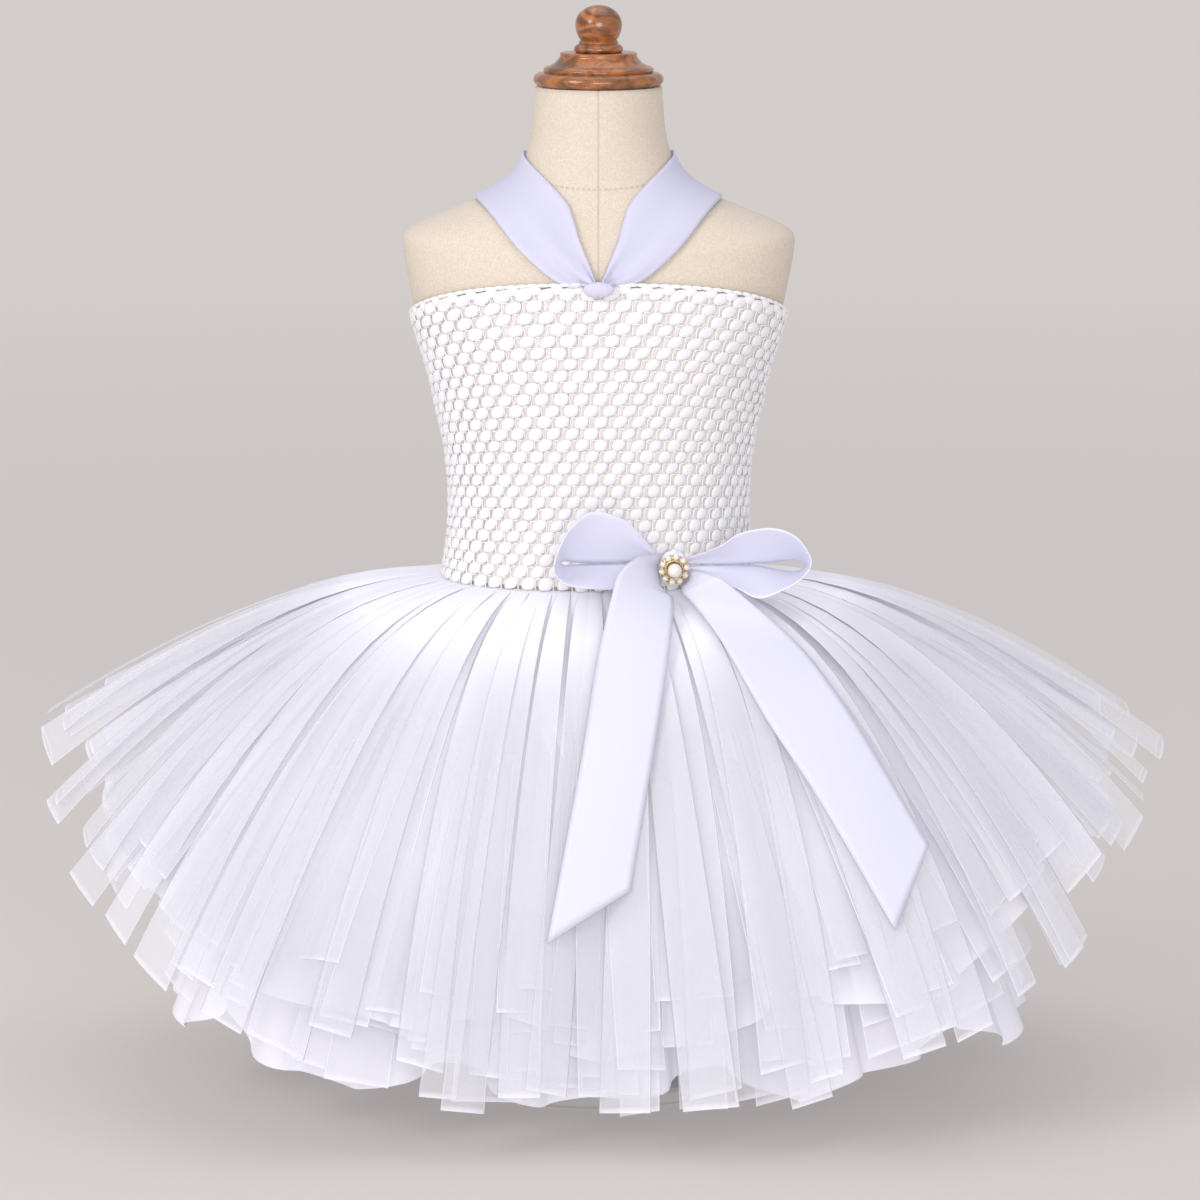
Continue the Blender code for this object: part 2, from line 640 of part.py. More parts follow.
def build():
    """Make every piece of the form and of the dress."""
    make_base()
    make_post()
    torso = make_torso()
    make_cap()
    make_bodice()
    for row in SKIRT_ROWS:
        make_skirt_row(*row)
    make_halter(torso)
    make_bow()
    make_brooch()


clear_scene()
collection = bpy.data.collections.new("tutu dress on a dress form")
bpy.context.scene.collection.children.link(collection)
materials = {name: make_finish(name) for name in FINISHES}
build()
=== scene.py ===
"""Looks of a child's tutu dress on its dress form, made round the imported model.

The dress is a crochet tube with a satin halter, knotted tulle strips and a satin bow with a pearl brooch.
Metres, +Z up, the front faces -Y. An azimuth is an angle about +Z: 0 at the front, 90 at +X, 180 at
the back. A share runs from 0 at a piece's start to 1 at its end.
"""

from math import atan2, cos, hypot, pi, radians, sin, tau
from random import Random

import bmesh
import bpy
from bpy.props import FloatProperty, FloatVectorProperty, IntProperty, PointerProperty
from mathutils import Matrix, Vector
from mathutils.bvhtree import BVHTree


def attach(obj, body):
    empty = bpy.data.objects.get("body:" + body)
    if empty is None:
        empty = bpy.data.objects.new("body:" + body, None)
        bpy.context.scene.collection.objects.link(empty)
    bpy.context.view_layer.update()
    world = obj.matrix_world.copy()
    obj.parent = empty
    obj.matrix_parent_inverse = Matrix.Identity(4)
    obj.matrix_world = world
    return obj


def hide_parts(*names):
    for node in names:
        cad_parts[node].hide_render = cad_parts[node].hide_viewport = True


bl_info = {
    "name": "Tutu dress on a dress form",
    "version": (1, 0, 0),
    "blender": (4, 5, 0),
    "location": "3D View > Sidebar > Tutu",
    "description": "Crochet, tulle, satin, linen and turned wood for a child's tutu dress",
    "category": "Object",
}

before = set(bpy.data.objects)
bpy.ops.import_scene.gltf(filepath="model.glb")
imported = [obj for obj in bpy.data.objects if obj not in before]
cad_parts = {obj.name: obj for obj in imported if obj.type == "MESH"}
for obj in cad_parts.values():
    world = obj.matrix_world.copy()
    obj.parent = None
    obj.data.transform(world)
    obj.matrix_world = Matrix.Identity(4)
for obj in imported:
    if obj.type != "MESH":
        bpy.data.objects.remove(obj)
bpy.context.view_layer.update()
BODY = "root"

# ---------------- sizes shared with the solids
BODICE_BOTTOM = 0.2920
BODICE_TOP = 0.4370
BODICE_LIFT = 0.0240        # how far the halter pulls the top edge up at the front
BODICE_OUT = 0.0033         # from the linen to the crochet's outer face
BODICE_FLARE = 0.0016       # how far the lower edge stands out over the tulle knots
FLARE_SHARE = 0.25          # the share of the bodice's height that flares

RIBBON_WIDTH = 0.038
RIBBON_WALL = 0.0005
STRAP_LIFT = 0.0019         # from the linen to the middle of a strap
KNOTTED_WIDTH = 0.0080      # a strap's width at the nape's knot
GATHER_SIZE = (0.0170, 0.0060, 0.0080)  # what shows of the front knot: a small gather over the top edge

TULLE_CLEARANCE = 0.0016    # from the linen to a row of strips
RISE_OUT = 0.45             # how far a strip bulges out and down on its way, as shares of its reach and drop
RISE_DOWN = 0.06
RIGHT_SIDE_REACH = 0.007    # the right side's strips reach and drop this much further
RIGHT_SIDE_DROP = 0.013
RIGHT_SIDE_AZIMUTH = 112
RIGHT_SIDE_SPAN = 50        # degrees to each side of that azimuth

FRONT_KNOT_DEPTH = 0.0090   # of the solid knot, whose middle the gather lies at
FRONT_KNOT_HEIGHT = 0.4605
NAPE_KNOT_SIZE = (0.0220, 0.0100, 0.0200)
NAPE_KNOT_HEIGHT = 0.5215
NAPE_TAIL_LENGTH = 0.0600
NAPE_TAIL_TOP = 0.5115
NAPE_KNOT_BACK = 0.0027     # from the linen to the nape's knot

BOW_AZIMUTH = 26.4
BOW_HEIGHT = 0.3050
BOW_FACING = 5              # degrees that the knot and the brooch are turned towards +X
BOW_KNOT_SIZE = (0.0150, 0.0110, 0.0190)
BROOCH_THICKNESS = 0.0022
BROOCH_RECESS = 0.0010
PEARL_RADIUS = 0.0040
SEAM_GAP = 0.0003
MERGE = 0.000001            # points closer than this become one

# The torso's level sections: height, half width, half depth, exponent of the superellipse.
TORSO_SECTIONS = (
    (0.1300, 0.0800, 0.0570, 2.2), (0.1360, 0.0890, 0.0650, 2.2), (0.1500, 0.0950, 0.0700, 2.2),
    (0.1850, 0.0985, 0.0730, 2.2), (0.2250, 0.0960, 0.0715, 2.2), (0.2600, 0.0890, 0.0655, 2.2),
    (0.2900, 0.0840, 0.0608, 2.2), (0.3200, 0.0815, 0.0592, 2.2), (0.3430, 0.0815, 0.0598, 2.2),
    (0.3640, 0.0836, 0.0615, 2.2), (0.3850, 0.0878, 0.0637, 2.2), (0.4100, 0.0935, 0.0660, 2.3),
    (0.4350, 0.1012, 0.0676, 2.4), (0.4600, 0.1065, 0.0665, 2.5), (0.4780, 0.1095, 0.0615, 2.6),
    (0.4850, 0.1085, 0.0575, 2.6), (0.4910, 0.0990, 0.0540, 2.5), (0.4980, 0.0825, 0.0505, 2.3),
    (0.5060, 0.0640, 0.0470, 2.1), (0.5150, 0.0500, 0.0440, 2.0), (0.5260, 0.0420, 0.0410, 2.0),
    (0.5400, 0.0378, 0.0378, 2.0), (0.5665, 0.0353, 0.0353, 2.0),
)
KNOB_RADIUS = 0.01305
KNOB_MIDDLE = 0.6012
KNOB_RISE = 0.0106          # from its widest level to its top
KNOB_FALL = 0.0143          # the longer half axis below its widest level
KNOB_FOOT = 38.6            # degrees below the widest level where the knob ends
# The turned neck cap below its knob, from the top down: radius, height.
CAP_OUTLINE = (
    (0.0104, 0.5921), (0.0110, 0.5916), (0.0112, 0.5911), (0.0109, 0.5905),
    (0.0112, 0.5902), (0.0126, 0.5895), (0.0135, 0.5884), (0.0138, 0.5874),
    (0.0136, 0.5864), (0.0128, 0.5857), (0.0124, 0.5855), (0.0205, 0.5855),
    (0.0214, 0.5852), (0.0217, 0.5845), (0.0214, 0.5838), (0.0216, 0.5831),
    (0.0229, 0.5813), (0.0249, 0.5793), (0.0274, 0.5781), (0.0297, 0.5774),
    (0.0307, 0.5766), (0.0309, 0.5757), (0.0304, 0.5749), (0.0303, 0.5745),
    (0.0318, 0.5744), (0.0338, 0.5740), (0.0355, 0.5730), (0.0363, 0.5715),
    (0.0364, 0.5700), (0.0358, 0.5686), (0.0346, 0.5677), (0.0343, 0.5672),
)
CAP_FLOOR = 0.5668
# The rows of strips: azimuth, outer reach, outer drop, middle reach, middle drop, inner reach, inner drop.
SKIRT_FAN = (
    (0, 0.130, 0.280, 0.110, 0.266, 0.090, 0.250), (25, 0.158, 0.263, 0.134, 0.256, 0.108, 0.247),
    (45, 0.205, 0.231, 0.172, 0.234, 0.132, 0.240), (70, 0.212, 0.178, 0.182, 0.205, 0.145, 0.232),
    (90, 0.224, 0.138, 0.190, 0.184, 0.150, 0.228), (112, 0.252, 0.098, 0.206, 0.155, 0.158, 0.220),
    (135, 0.222, 0.150, 0.186, 0.190, 0.148, 0.228), (158, 0.174, 0.228, 0.148, 0.230, 0.120, 0.234),
    (180, 0.150, 0.258, 0.127, 0.250, 0.103, 0.240),
)
OUTER_RIM = (1, 0.2904)     # a row's first column in SKIRT_FAN, and its height at the waist
MIDDLE_RIM = (3, 0.2848)
INNER_RIM = (5, 0.2790)
# The halter's centre line on the right, from the front knot round to the nape: x, y, height.
HALTER_ROUTE = (
    (0.0048, -0.0700, 0.4670), (0.0105, -0.0690, 0.4730), (0.0250, -0.0600, 0.4870),
    (0.0410, -0.0380, 0.5040), (0.0530, -0.0080, 0.5160), (0.0520, 0.0220, 0.5180),
    (0.0380, 0.0400, 0.5215), (0.0210, 0.0450, 0.5235), (0.0085, 0.0460, 0.5245),
)
# Where a strap's centre line tucks into the front gather, before its route over the shoulder starts.
HALTER_TUCK = ((0.0012, -0.0715, 0.4605), (0.0030, -0.0708, 0.4640))
# The bow's ribbons, in millimetres from the bow's centre: near edge along, up, out; far edge the same.
BOW_LOOPS = {
    "left": (
        (8.0, 6.0, 7.5, 8.0, 2.2, 3.5), (22.3, 24.6, 22.0, 22.0, 3.2, 5.5),
        (32.0, 31.9, 28.5, 32.0, 3.1, 7.5), (45.0, 35.0, 33.0, 45.0, 3.1, 9.0),
        (55.3, 28.4, 38.0, 54.0, 3.6, 10.5), (62.0, 18.4, 42.0, 60.5, 4.6, 11.5),
        (66.1, 6.0, 46.0, 62.5, 3.2, 12.0), (63.0, -0.8, 45.0, 59.5, 1.9, 11.5),
        (56.0, -4.8, 43.0, 54.0, 2.2, 10.5), (45.0, -6.9, 38.0, 45.0, 2.4, 9.0),
        (30.0, -9.2, 25.0, 30.0, 2.2, 7.0), (16.0, -6.0, 14.0, 16.0, 1.4, 5.0),
        (8.0, -1.8, 7.0, 8.0, -0.4, 3.5),
    ),
    "right": (
        (7.8, 4.9, 7.5, 7.8, 2.0, 3.0), (25.0, 14.5, 24.0, 25.0, 1.5, 2.0),
        (36.0, 22.4, 30.0, 36.0, 1.2, 0.0), (52.0, 25.7, 31.0, 52.0, 1.2, -4.0),
        (64.0, 22.6, 30.0, 62.0, 2.0, -6.5), (71.5, 15.6, 29.5, 69.6, 1.6, -8.0),
        (75.5, 6.2, 29.0, 73.5, -0.6, -8.5), (71.0, -1.9, 29.0, 70.0, -3.8, -8.0),
        (62.0, -8.0, 29.0, 60.0, -3.4, -6.0), (47.0, -13.5, 29.5, 47.0, -0.2, -3.0),
        (34.0, -8.5, 24.0, 34.0, 0.5, 0.0), (20.0, -3.7, 15.0, 20.0, 0.5, 2.5),
        (7.8, -1.4, 7.0, 7.8, -0.2, 3.0),
    ),
}
# The tails' first stretches, in the same millimetres: left edge along, up, out; right edge the same.
TAILS_AT_KNOT = {
    "left": (
        (-9.2, 8.0, 10.2, -9.2, -5.6, 9.6), (-20.0, 8.5, 24.0, -6.5, -9.4, 17.0),
        (-29.0, 2.7, 34.0, -2.5, -12.0, 22.0), (-33.0, -7.0, 40.0, -0.5, -17.0, 27.0),
    ),
    "right": (
        (4.4, -11.4, 8.0, 9.6, -0.4, 9.0), (5.0, -13.0, 17.0, 20.0, -1.0, 24.0),
        (9.0, -16.0, 23.0, 31.0, -6.6, 31.0),
    ),
}
# Their other stretches on the outer row: azimuth and share of the left edge, then of the right edge.
TAILS_ON_SKIRT = {
    "left": (
        (-0.3, 0.32, 15.6, 0.30), (-3.0, 0.53, 10.4, 0.49), (-7.4, 0.79, 4.7, 0.72),
    ),
    "right": (
        (29.0, 0.29, 45.0, 0.32), (31.8, 0.48, 45.8, 0.47),
        (35.3, 0.63, 46.5, 0.61), (39.1, 0.83, 47.5, 0.74),
    ),
}
TAIL_LIFT = 0.0080          # from the outer row to a tail


# ---------------- curves and surfaces
def table_value(rows, key, column):
    """A column's value at a key, on a smooth curve through the rows."""
    last = len(rows) - 1
    index = 0
    while index < last - 1 and key > rows[index + 1][0]:
        index += 1
    low, high = rows[index], rows[index + 1]
    share = min(max((key - low[0]) / (high[0] - low[0]), 0.0), 1.0)
    before = rows[max(index - 1, 0)]
    after = rows[min(index + 2, last)]
    run = high[0] - low[0]
    slope_low = (high[column] - before[column]) / (high[0] - before[0]) * run
    slope_high = (after[column] - low[column]) / (after[0] - low[0]) * run
    a = 2 * low[column] - 2 * high[column] + slope_low + slope_high
    b = 3 * high[column] - 3 * low[column] - 2 * slope_low - slope_high
    return ((a * share + b) * share + slope_low) * share + low[column]


def smooth_route(points, count):
    """Evenly numbered points on a smooth curve through the given ones."""
    rows = [(index, *point) for index, point in enumerate(points)]
    columns = range(1, len(rows[0]))
    keys = [(len(points) - 1) * step / (count - 1) for step in range(count)]
    return [tuple(table_value(rows, key, column) for column in columns) for key in keys]


def ease(share):
    """A share from 0 to 1 that starts and ends gently."""
    share = min(max(share, 0.0), 1.0)
    return share * share * (3 - 2 * share)


def torso_point(height, azimuth, out=0.0):
    """A point on the torso's skin, or moved out from it, at a height and an azimuth in degrees."""
    half_width = table_value(TORSO_SECTIONS, height, 1) + out
    half_depth = table_value(TORSO_SECTIONS, height, 2) + out
    power = 2 / table_value(TORSO_SECTIONS, height, 3)
    side = sin(radians(azimuth))
    front = cos(radians(azimuth))
    x = half_width * abs(side) ** power * (1 if side >= 0 else -1)
    y = half_depth * abs(front) ** power * (-1 if front >= 0 else 1)
    return Vector((x, y, height))


def strip_reach_and_drop(azimuth, column):
    """How far a row's strips reach out and drop at an azimuth, with the right side's own spread."""
    turned = (azimuth + 180) % 360 - 180
    reach = table_value(SKIRT_FAN, abs(turned), column)
    drop = table_value(SKIRT_FAN, abs(turned), column + 1)
    distance = min(abs(turned - RIGHT_SIDE_AZIMUTH) / RIGHT_SIDE_SPAN, 1.0)
    spread = (1 + cos(pi * distance)) / 2
    return reach + RIGHT_SIDE_REACH * spread, drop + RIGHT_SIDE_DROP * spread


def skirt_point(azimuth, share, rim, out=0.0):
    """A point on a row of strips: share 0 at the rim and 1 at the hem, moved out along its normal."""
    column, rim_height = rim
    reach, drop = strip_reach_and_drop(azimuth, column)
    bend = 2 * share * (1 - share)
    away = reach * (RISE_OUT * bend + share * share)
    down = drop * (RISE_DOWN * bend + share * share)
    away_slope = reach * (RISE_OUT * (1 - 2 * share) + share)
    down_slope = drop * (RISE_DOWN * (1 - 2 * share) + share)
    steepness = hypot(away_slope, down_slope)
    away += out * down_slope / steepness
    down -= out * away_slope / steepness
    start = torso_point(rim_height, azimuth, TULLE_CLEARANCE)
    return start + Vector((away * sin(radians(azimuth)), -away * cos(radians(azimuth)), -down))


def bodice_height(azimuth):
    """How tall the crochet is at an azimuth."""
    return BODICE_TOP + BODICE_LIFT * max(cos(radians(azimuth)), 0.0) - BODICE_BOTTOM


def bodice_point(azimuth, share, out):
    """A point over the linen inside the crochet: share 0 at its lower edge and 1 at its top edge."""
    flare = BODICE_FLARE * max(1 - share / FLARE_SHARE, 0.0)
    return torso_point(BODICE_BOTTOM + bodice_height(azimuth) * share, azimuth, out + flare)


# ---------------- meshes
def new_piece(shape, name, finish):
    """A smooth object with its finish, from a bmesh that isn't needed any more."""
    mesh = bpy.data.meshes.new(name)
    shape.to_mesh(mesh)
    shape.free()
    mesh.shade_smooth()
    mesh.materials.append(finish)
    piece = bpy.data.objects.new(name, mesh)
    bpy.context.scene.collection.objects.link(piece)
    return piece


def adopt(shape, name, finish):
    """Turn a bmesh into a piece of the object, which rides on the part's one body."""
    piece = new_piece(shape, name, finish)
    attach(piece, BODY)
    return piece


def add_cloth(shape, across, along, size, place, closed=False, origin=0.0):
    """Add a grid of cloth. place(column, row) gives a point and a value for each of the bmesh's float
    layers; size is the cloth's flat width and length, for its UV map, which starts from the origin."""
    made = bmesh.ops.create_grid(shape, x_segments=across, y_segments=along, size=0.5)
    layers = [shape.verts.layers.float[name] for name in shape.verts.layers.float.keys()]
    cloth = shape.loops.layers.uv.verify()
    where = {}
    for vert in made["verts"]:
        where[vert] = (vert.co.x + 0.5, vert.co.y + 0.5)
    faces = {face for vert in made["verts"] for face in vert.link_faces}
    for face in faces:
        for loop in face.loops:
            u, v = where[loop.vert]
            loop[cloth].uv = (origin + u * size[0], v * size[1])
    for vert, (u, v) in where.items():
        point, *values = place(round(u * across), round(v * along))
        vert.co = point
        for layer, value in zip(layers, values):
            vert[layer] = value
    if closed:
        bmesh.ops.remove_doubles(shape, verts=made["verts"], dist=MERGE)


def spun(outline, steps, matrix=None):
    """A turned bmesh about +Z from an outline of (radius, height) that runs down its +X side."""
    shape = bmesh.new()
    points = [shape.verts.new((radius, 0, height)) for radius, height in outline]
    for upper, lower in zip(points, points[1:]):
        shape.edges.new((upper, lower))
    bmesh.ops.spin(shape, geom=shape.verts[:] + shape.edges[:], cent=(0, 0, 0), axis=(0, 0, 1),
                   angle=tau, steps=steps, use_merge=True)
    bmesh.ops.remove_doubles(shape, verts=shape.verts[:], dist=MERGE)
    bmesh.ops.recalc_face_normals(shape, faces=shape.faces[:])
    if matrix:
        shape.transform(matrix)
    return shape


def ribbon_piece(shape, name, satin):
    """A length of ribbon: satin with a thin wall, half on each side."""
    piece = adopt(shape, name, satin)
    wall = piece.modifiers.new("wall", "SOLIDIFY")
    wall.thickness = RIBBON_WALL
    wall.offset = 0
    return piece


# ---------------- shader maths
class Wire:
    """An output socket of a finish; arithmetic on it adds Math nodes."""

    def __init__(self, finish, socket):
        self.finish = finish
        self.socket = socket

    def maths(self, operation, *values):
        return self.finish.node("Math", {"operation": operation}, *values)

    def __add__(self, other):
        return self.maths("ADD", self, other)

    def __sub__(self, other):
        return self.maths("SUBTRACT", self, other)

    def __rsub__(self, other):
        return self.maths("SUBTRACT", other, self)

    def __mul__(self, other):
        return self.maths("MULTIPLY", self, other)

    def __pow__(self, other):
        return self.maths("POWER", self, other)

    def __abs__(self):
        return self.maths("ABSOLUTE", self)

    __radd__ = __add__
    __rmul__ = __mul__

    def sine(self):
        return self.maths("SINE", self)

    def most(self, other):
        return self.maths("MAXIMUM", self, other)


def tinted(colour, factor):
    """A colour made darker or lighter by a factor."""
    return tuple(min(1.0, factor * part) for part in colour)


class Finish:
    """A Principled material and the nodes that feed it."""

    def __init__(self, name, specular=0.5, glow=None, **fixed):
        """glow is a colour and its strength; the other values are for the sockets that they name."""
        self.material = bpy.data.materials.new(name)
        self.material.use_nodes = True
        self.tree = self.material.node_tree
        self.shader = self.tree.nodes["Principled BSDF"]
        self.shader.inputs["Specular IOR Level"].default_value = specular
        if glow:
            fixed["emission_color"] = (*glow[0], 1)
            fixed["emission_strength"] = glow[1]
        for socket, value in fixed.items():
            self.shader.inputs[socket.replace("_", " ").title()].default_value = value

    def node(self, kind, settings, *values, output=0):
        """Add a node: its settings first, then a value or a wire for each input, in order."""
        made = self.tree.nodes.new("ShaderNode" + kind)
        for name, value in settings.items():
            setattr(made, name, value)
        for socket, value in zip(made.inputs, values):
            if isinstance(value, Wire):
                self.tree.links.new(value.socket, socket)
            elif value is not None:
                socket.default_value = value
        return Wire(self, made.outputs[output])

    def feed(self, socket, wire):
        """Link a wire to one of the Principled sockets."""
        self.tree.links.new(wire.socket, self.shader.inputs[socket])

    def parts(self, vector):
        """The three components of a vector wire."""
        made = self.node("SeparateXYZ", {}, vector)
        return [Wire(self, socket) for socket in made.socket.node.outputs]

    def object_place(self):
        """The place in metres from the object's origin."""
        return self.node("TexCoord", {}, output=3)

    def cloth_place(self):
        """The place on the flat cloth, in metres across and along."""
        return self.node("UVMap", {"uv_map": "UVMap"})

    def layer(self, name):
        """A float attribute of the mesh."""
        return self.node("Attribute", {"attribute_name": name}, output=2)

    def noise(self, vector, scale, detail=2.0, distortion=0.0):
        """Noise in three dimensions, with its other sockets as they are."""
        values = (vector, None, scale, detail, None, None, None, None, distortion)
        return self.node("TexNoise", {"noise_dimensions": "3D"}, *values)

    def stretched(self, vector, scale):
        """The same place with each axis scaled, for a grain or a thread that runs one way."""
        return self.node("Mapping", {}, vector, None, None, scale)

    def spread(self, value, low, high, least=0.0, most=1.0):
        """A value's own range from low to high, eased to another range."""
        return self.node("MapRange", {"interpolation_type": "SMOOTHSTEP"}, value, low, high, least, most)

    def blend(self, factor, first, second):
        """Two colours mixed by a factor."""
        colours = [value if isinstance(value, Wire) else (*value, 1.0) for value in (first, second)]
        unused = [None] * 5
        return self.node("Mix", {"data_type": "RGBA"}, factor, *unused, *colours, output=2)

    def bump(self, height, depth, strength=1.0):
        """Feed the normal from a height; depth is how deep a height of 1 is, in metres."""
        self.feed("Normal", self.node("Bump", {}, strength, depth, None, height))


# ---------------- finishes
THROUGH_HALTER = 0.38       # share of the light that the satin passes on rather than sends back
THROUGH_BOW = 0.12
PAINTED_SHEEN_HEIGHT = 0.1875       # of a band of painted sheen on the satin; the others lie a pitch apart
PAINTED_SHEEN_PITCH = 0.0943
HALTER_GLOW = 0.09          # painted glow: emission that stands in for the little light that a satin band gets from the cloth round it
# painted glow on the bow's loops, to lighten them; the tails have none
LOOP_GLOW = 0.20
TAIL_GLOW = 0.0
TULLE_GLOW = 0.14           # painted glow: emission that stands in for the light the many thin layers pass on to each other
# painted glow: emission that lightens the crochet yarn a little
YARN_GLOW = 0.04
# painted glow: emission that lightens the lining where it shows through the crochet's shaded holes
LINING_GLOW = 0.22
PAPER_GLOW = 0.60           # painted light: the paper's own glow, standing in for the studio's lamps on it
CREASES = (0.0043, 0.0071)  # pitches of the two waves whose product draws the gather lines of a strip
CREASE_SLANT = 9.0
PLY_PITCH = 0.0012
KNIT_PITCHES = (0.0011, 0.0009)
SELVEDGE = (0.0011, 0.0007)     # in from a ribbon's edge, where the selvedge starts to show and is whole
SELVEDGE_RIB = 0.0007
SEAM_LINE = (0.00015, 0.0006)   # from a seam's middle, where it is whole and where it ends
NECK_SEAM_LINE = (0.0002, 0.0007)
NECK_SEAM_FRONT = (-0.048, 0.5118)      # y and height of the neck's seam at the front
NECK_SEAM_SLOPE = 0.285     # how much it rises for each metre towards the back
NECK_STITCH = 0.0030
SIDE_SEAM_TOP = (0.5, 0.49)
WORN_HEIGHTS = (0.5700, 0.5680)     # the cap's varnish is chipped from the second one down
CHIP_COLOUR = (0.72, 0.62, 0.50)
LIT_FLOOR = (0.8, 5.0)      # radii between which the paper's painted glow grows stronger, so the floor round the dress is darker


def net(colour, pitch):
    """Tulle: closed where it is bunched, and a fine diamond net where it is spread."""
    tulle = Finish("tulle", specular=0.0, glow=(colour, TULLE_GLOW), base_color=(*colour, 1), roughness=0.75)
    u, v, _ = tulle.parts(tulle.cloth_place())
    holes = abs((u * (tau / pitch)).sine() + (v * (tau / pitch)).sine())
    cover = tulle.layer("cover")
    fine, coarse = CREASES
    creases = (u * (tau / fine)).sine() * (u * (tau / coarse) + v * CREASE_SLANT).sine()
    # painted light and shade: the crease pattern makes the base colour darker and lighter along the strips;
    # the same pattern makes the net denser there
    painted_shading = tulle.blend(creases * 0.5 + 0.5, tinted(colour, 0.90), tinted(colour, 1.05))
    tulle.feed("Base Color", painted_shading)
    tulle.feed("Alpha", cover * (1.30 - holes * (1 - cover) * 0.75) * (1 + creases * 0.28))
    return tulle.material


def satin_weave(colour, passed, glow):
    """Ribbon satin: a smooth face with painted sheen in bands by height and painted shade in streaks along
    it, with fine cross threads and a raised thread along each selvedge; passed is the share of the light
    that goes through it."""
    satin = Finish("satin", specular=0.7, glow=(colour, glow), roughness=0.30)
    u, v, _ = satin.parts(satin.cloth_place())
    edge = abs(u - RIBBON_WIDTH / 2)
    selvedge = satin.spread(edge, *(RIBBON_WIDTH / 2 - inwards for inwards in SELVEDGE))
    drift = satin.noise(satin.stretched(satin.cloth_place(), (40.0, 9.0, 1.0)), 1.0, 3.0)
    _, _, z = satin.parts(satin.object_place())
    painted_sheen = satin.spread(((z - PAINTED_SHEEN_HEIGHT) * (tau / PAINTED_SHEEN_PITCH) + pi / 2).sine(), -0.7, 0.8)
    # painted sheen: the satin is lighter in bands by height and a darker lavender (deep) between them
    deep = (0.82 * colour[0], 0.825 * colour[1], 0.96 * colour[2])
    soft = satin.blend(painted_sheen, deep, tinted(colour, 1.05))
    # painted light and shade: the drift noise darkens the satin in soft streaks along its length; the same
    # noise varies its roughness
    soft = satin.blend(drift * 0.5, soft, deep)
    light = tinted(colour, 1.08)
    satin.feed("Base Color", satin.blend(selvedge, soft, light))
    satin.feed("Roughness", satin.spread(drift, 0.2, 0.8, 0.26, 0.34) + selvedge * 0.25)
    ribs = ((v * (tau / SELVEDGE_RIB)).sine() * 0.5 + 0.5) * selvedge
    threads = satin.noise(satin.stretched(satin.cloth_place(), (400.0, 3500.0, 1.0)), 1.0, 1.0)
    satin.bump(selvedge * 0.7 + ribs * 0.3 + threads * 0.10, 0.0003, 0.6)
    through = satin.node("BsdfTranslucent", {}, (*light, 1.0))
    mixed = satin.node("MixShader", {}, passed, Wire(satin, satin.shader.outputs[0]), through)
    satin.tree.links.new(mixed.socket, satin.tree.nodes["Material Output"].inputs["Surface"])
    return satin.material


def crochet_yarn(colour):
    """Matt crochet cotton with its plies."""
    yarn = Finish("crochet", specular=0.25, glow=(colour, YARN_GLOW), roughness=0.78, sheen_weight=0.2)
    u, v, _ = yarn.parts(yarn.cloth_place())
    wander = yarn.noise(yarn.object_place(), 260.0, 2.0)
    plies = abs((((u * 0.55 + v) + wander * 0.0012) * (pi / PLY_PITCH)).sine())
    fuzz = yarn.noise(yarn.object_place(), 1800.0, 2.0)
    # painted shade: the yarn is darker in the grooves between its plies
    painted_shading = yarn.spread(plies, 0.0, 0.5)
    yarn.feed("Base Color", yarn.blend(painted_shading, tinted(colour, 0.93), colour))
    yarn.bump(plies * 0.8 + fuzz * 0.4, 0.0003, 0.5)
    return yarn.material


def knitted_lining(colour):
    """The warm white lining that shows through the crochet's holes."""
    lining = Finish("lining", specular=0.1, glow=(colour, LINING_GLOW), roughness=0.85)
    u, v, _ = lining.parts(lining.cloth_place())
    ribs = (u * (tau / KNIT_PITCHES[0])).sine() * 0.5 + 0.5
    loops = (v * (tau / KNIT_PITCHES[1])).sine() * 0.5 + 0.5
    knit = ribs * loops
    # painted shade: the knit is darker in the hollows between its ribs and loops
    lining.feed("Base Color", lining.blend(knit, tinted(colour, 0.93), colour))
    lining.bump(knit, 0.0002, 0.4)
    return lining.material


def linen_cloth(colour):
    """Natural linen on the form, with its seams and their stitches."""
    linen = Finish("linen", specular=0.2, roughness=0.85, sheen_weight=0.15)
    place = linen.object_place()
    x, y, z = linen.parts(place)
    slubs = linen.noise(linen.stretched(place, (700.0, 700.0, 1500.0)), 1.0, 3.0)
    knots = linen.noise(linen.stretched(place, (1500.0, 1500.0, 600.0)), 1.0, 3.0)
    stain = linen.noise(place, 14.0, 3.0)
    flecks = linen.spread(slubs * knots, 0.10, 0.40)
    front, height = NECK_SEAM_FRONT
    neck = abs(z - (y - front) * NECK_SEAM_SLOPE - height)
    neck_seam = linen.spread(neck, *NECK_SEAM_LINE, 1.0, 0.0)
    dashes = linen.spread((x * (tau / NECK_STITCH)).sine(), -0.5, 0.1)
    centre = linen.spread(abs(x), *SEAM_LINE, 1.0, 0.0)
    side = linen.spread(abs(y), *SEAM_LINE, 1.0, 0.0) * linen.spread(z, *SIDE_SEAM_TOP)
    seams = (neck_seam * dashes).most(centre).most(side)
    dark = (colour[0] * 0.80, colour[1] * 0.76, colour[2] * 0.70)
    warm = linen.blend(stain, tinted(colour, 0.97), tinted(colour, 1.06))
    mottled = linen.blend(flecks, tinted(colour, 0.86), warm)
    linen.feed("Base Color", linen.blend(seams * 0.6, mottled, dark))
    linen.bump(slubs * 0.5 + knots * 0.5 - seams * 1.2, 0.0006, 0.6)
    return linen.material


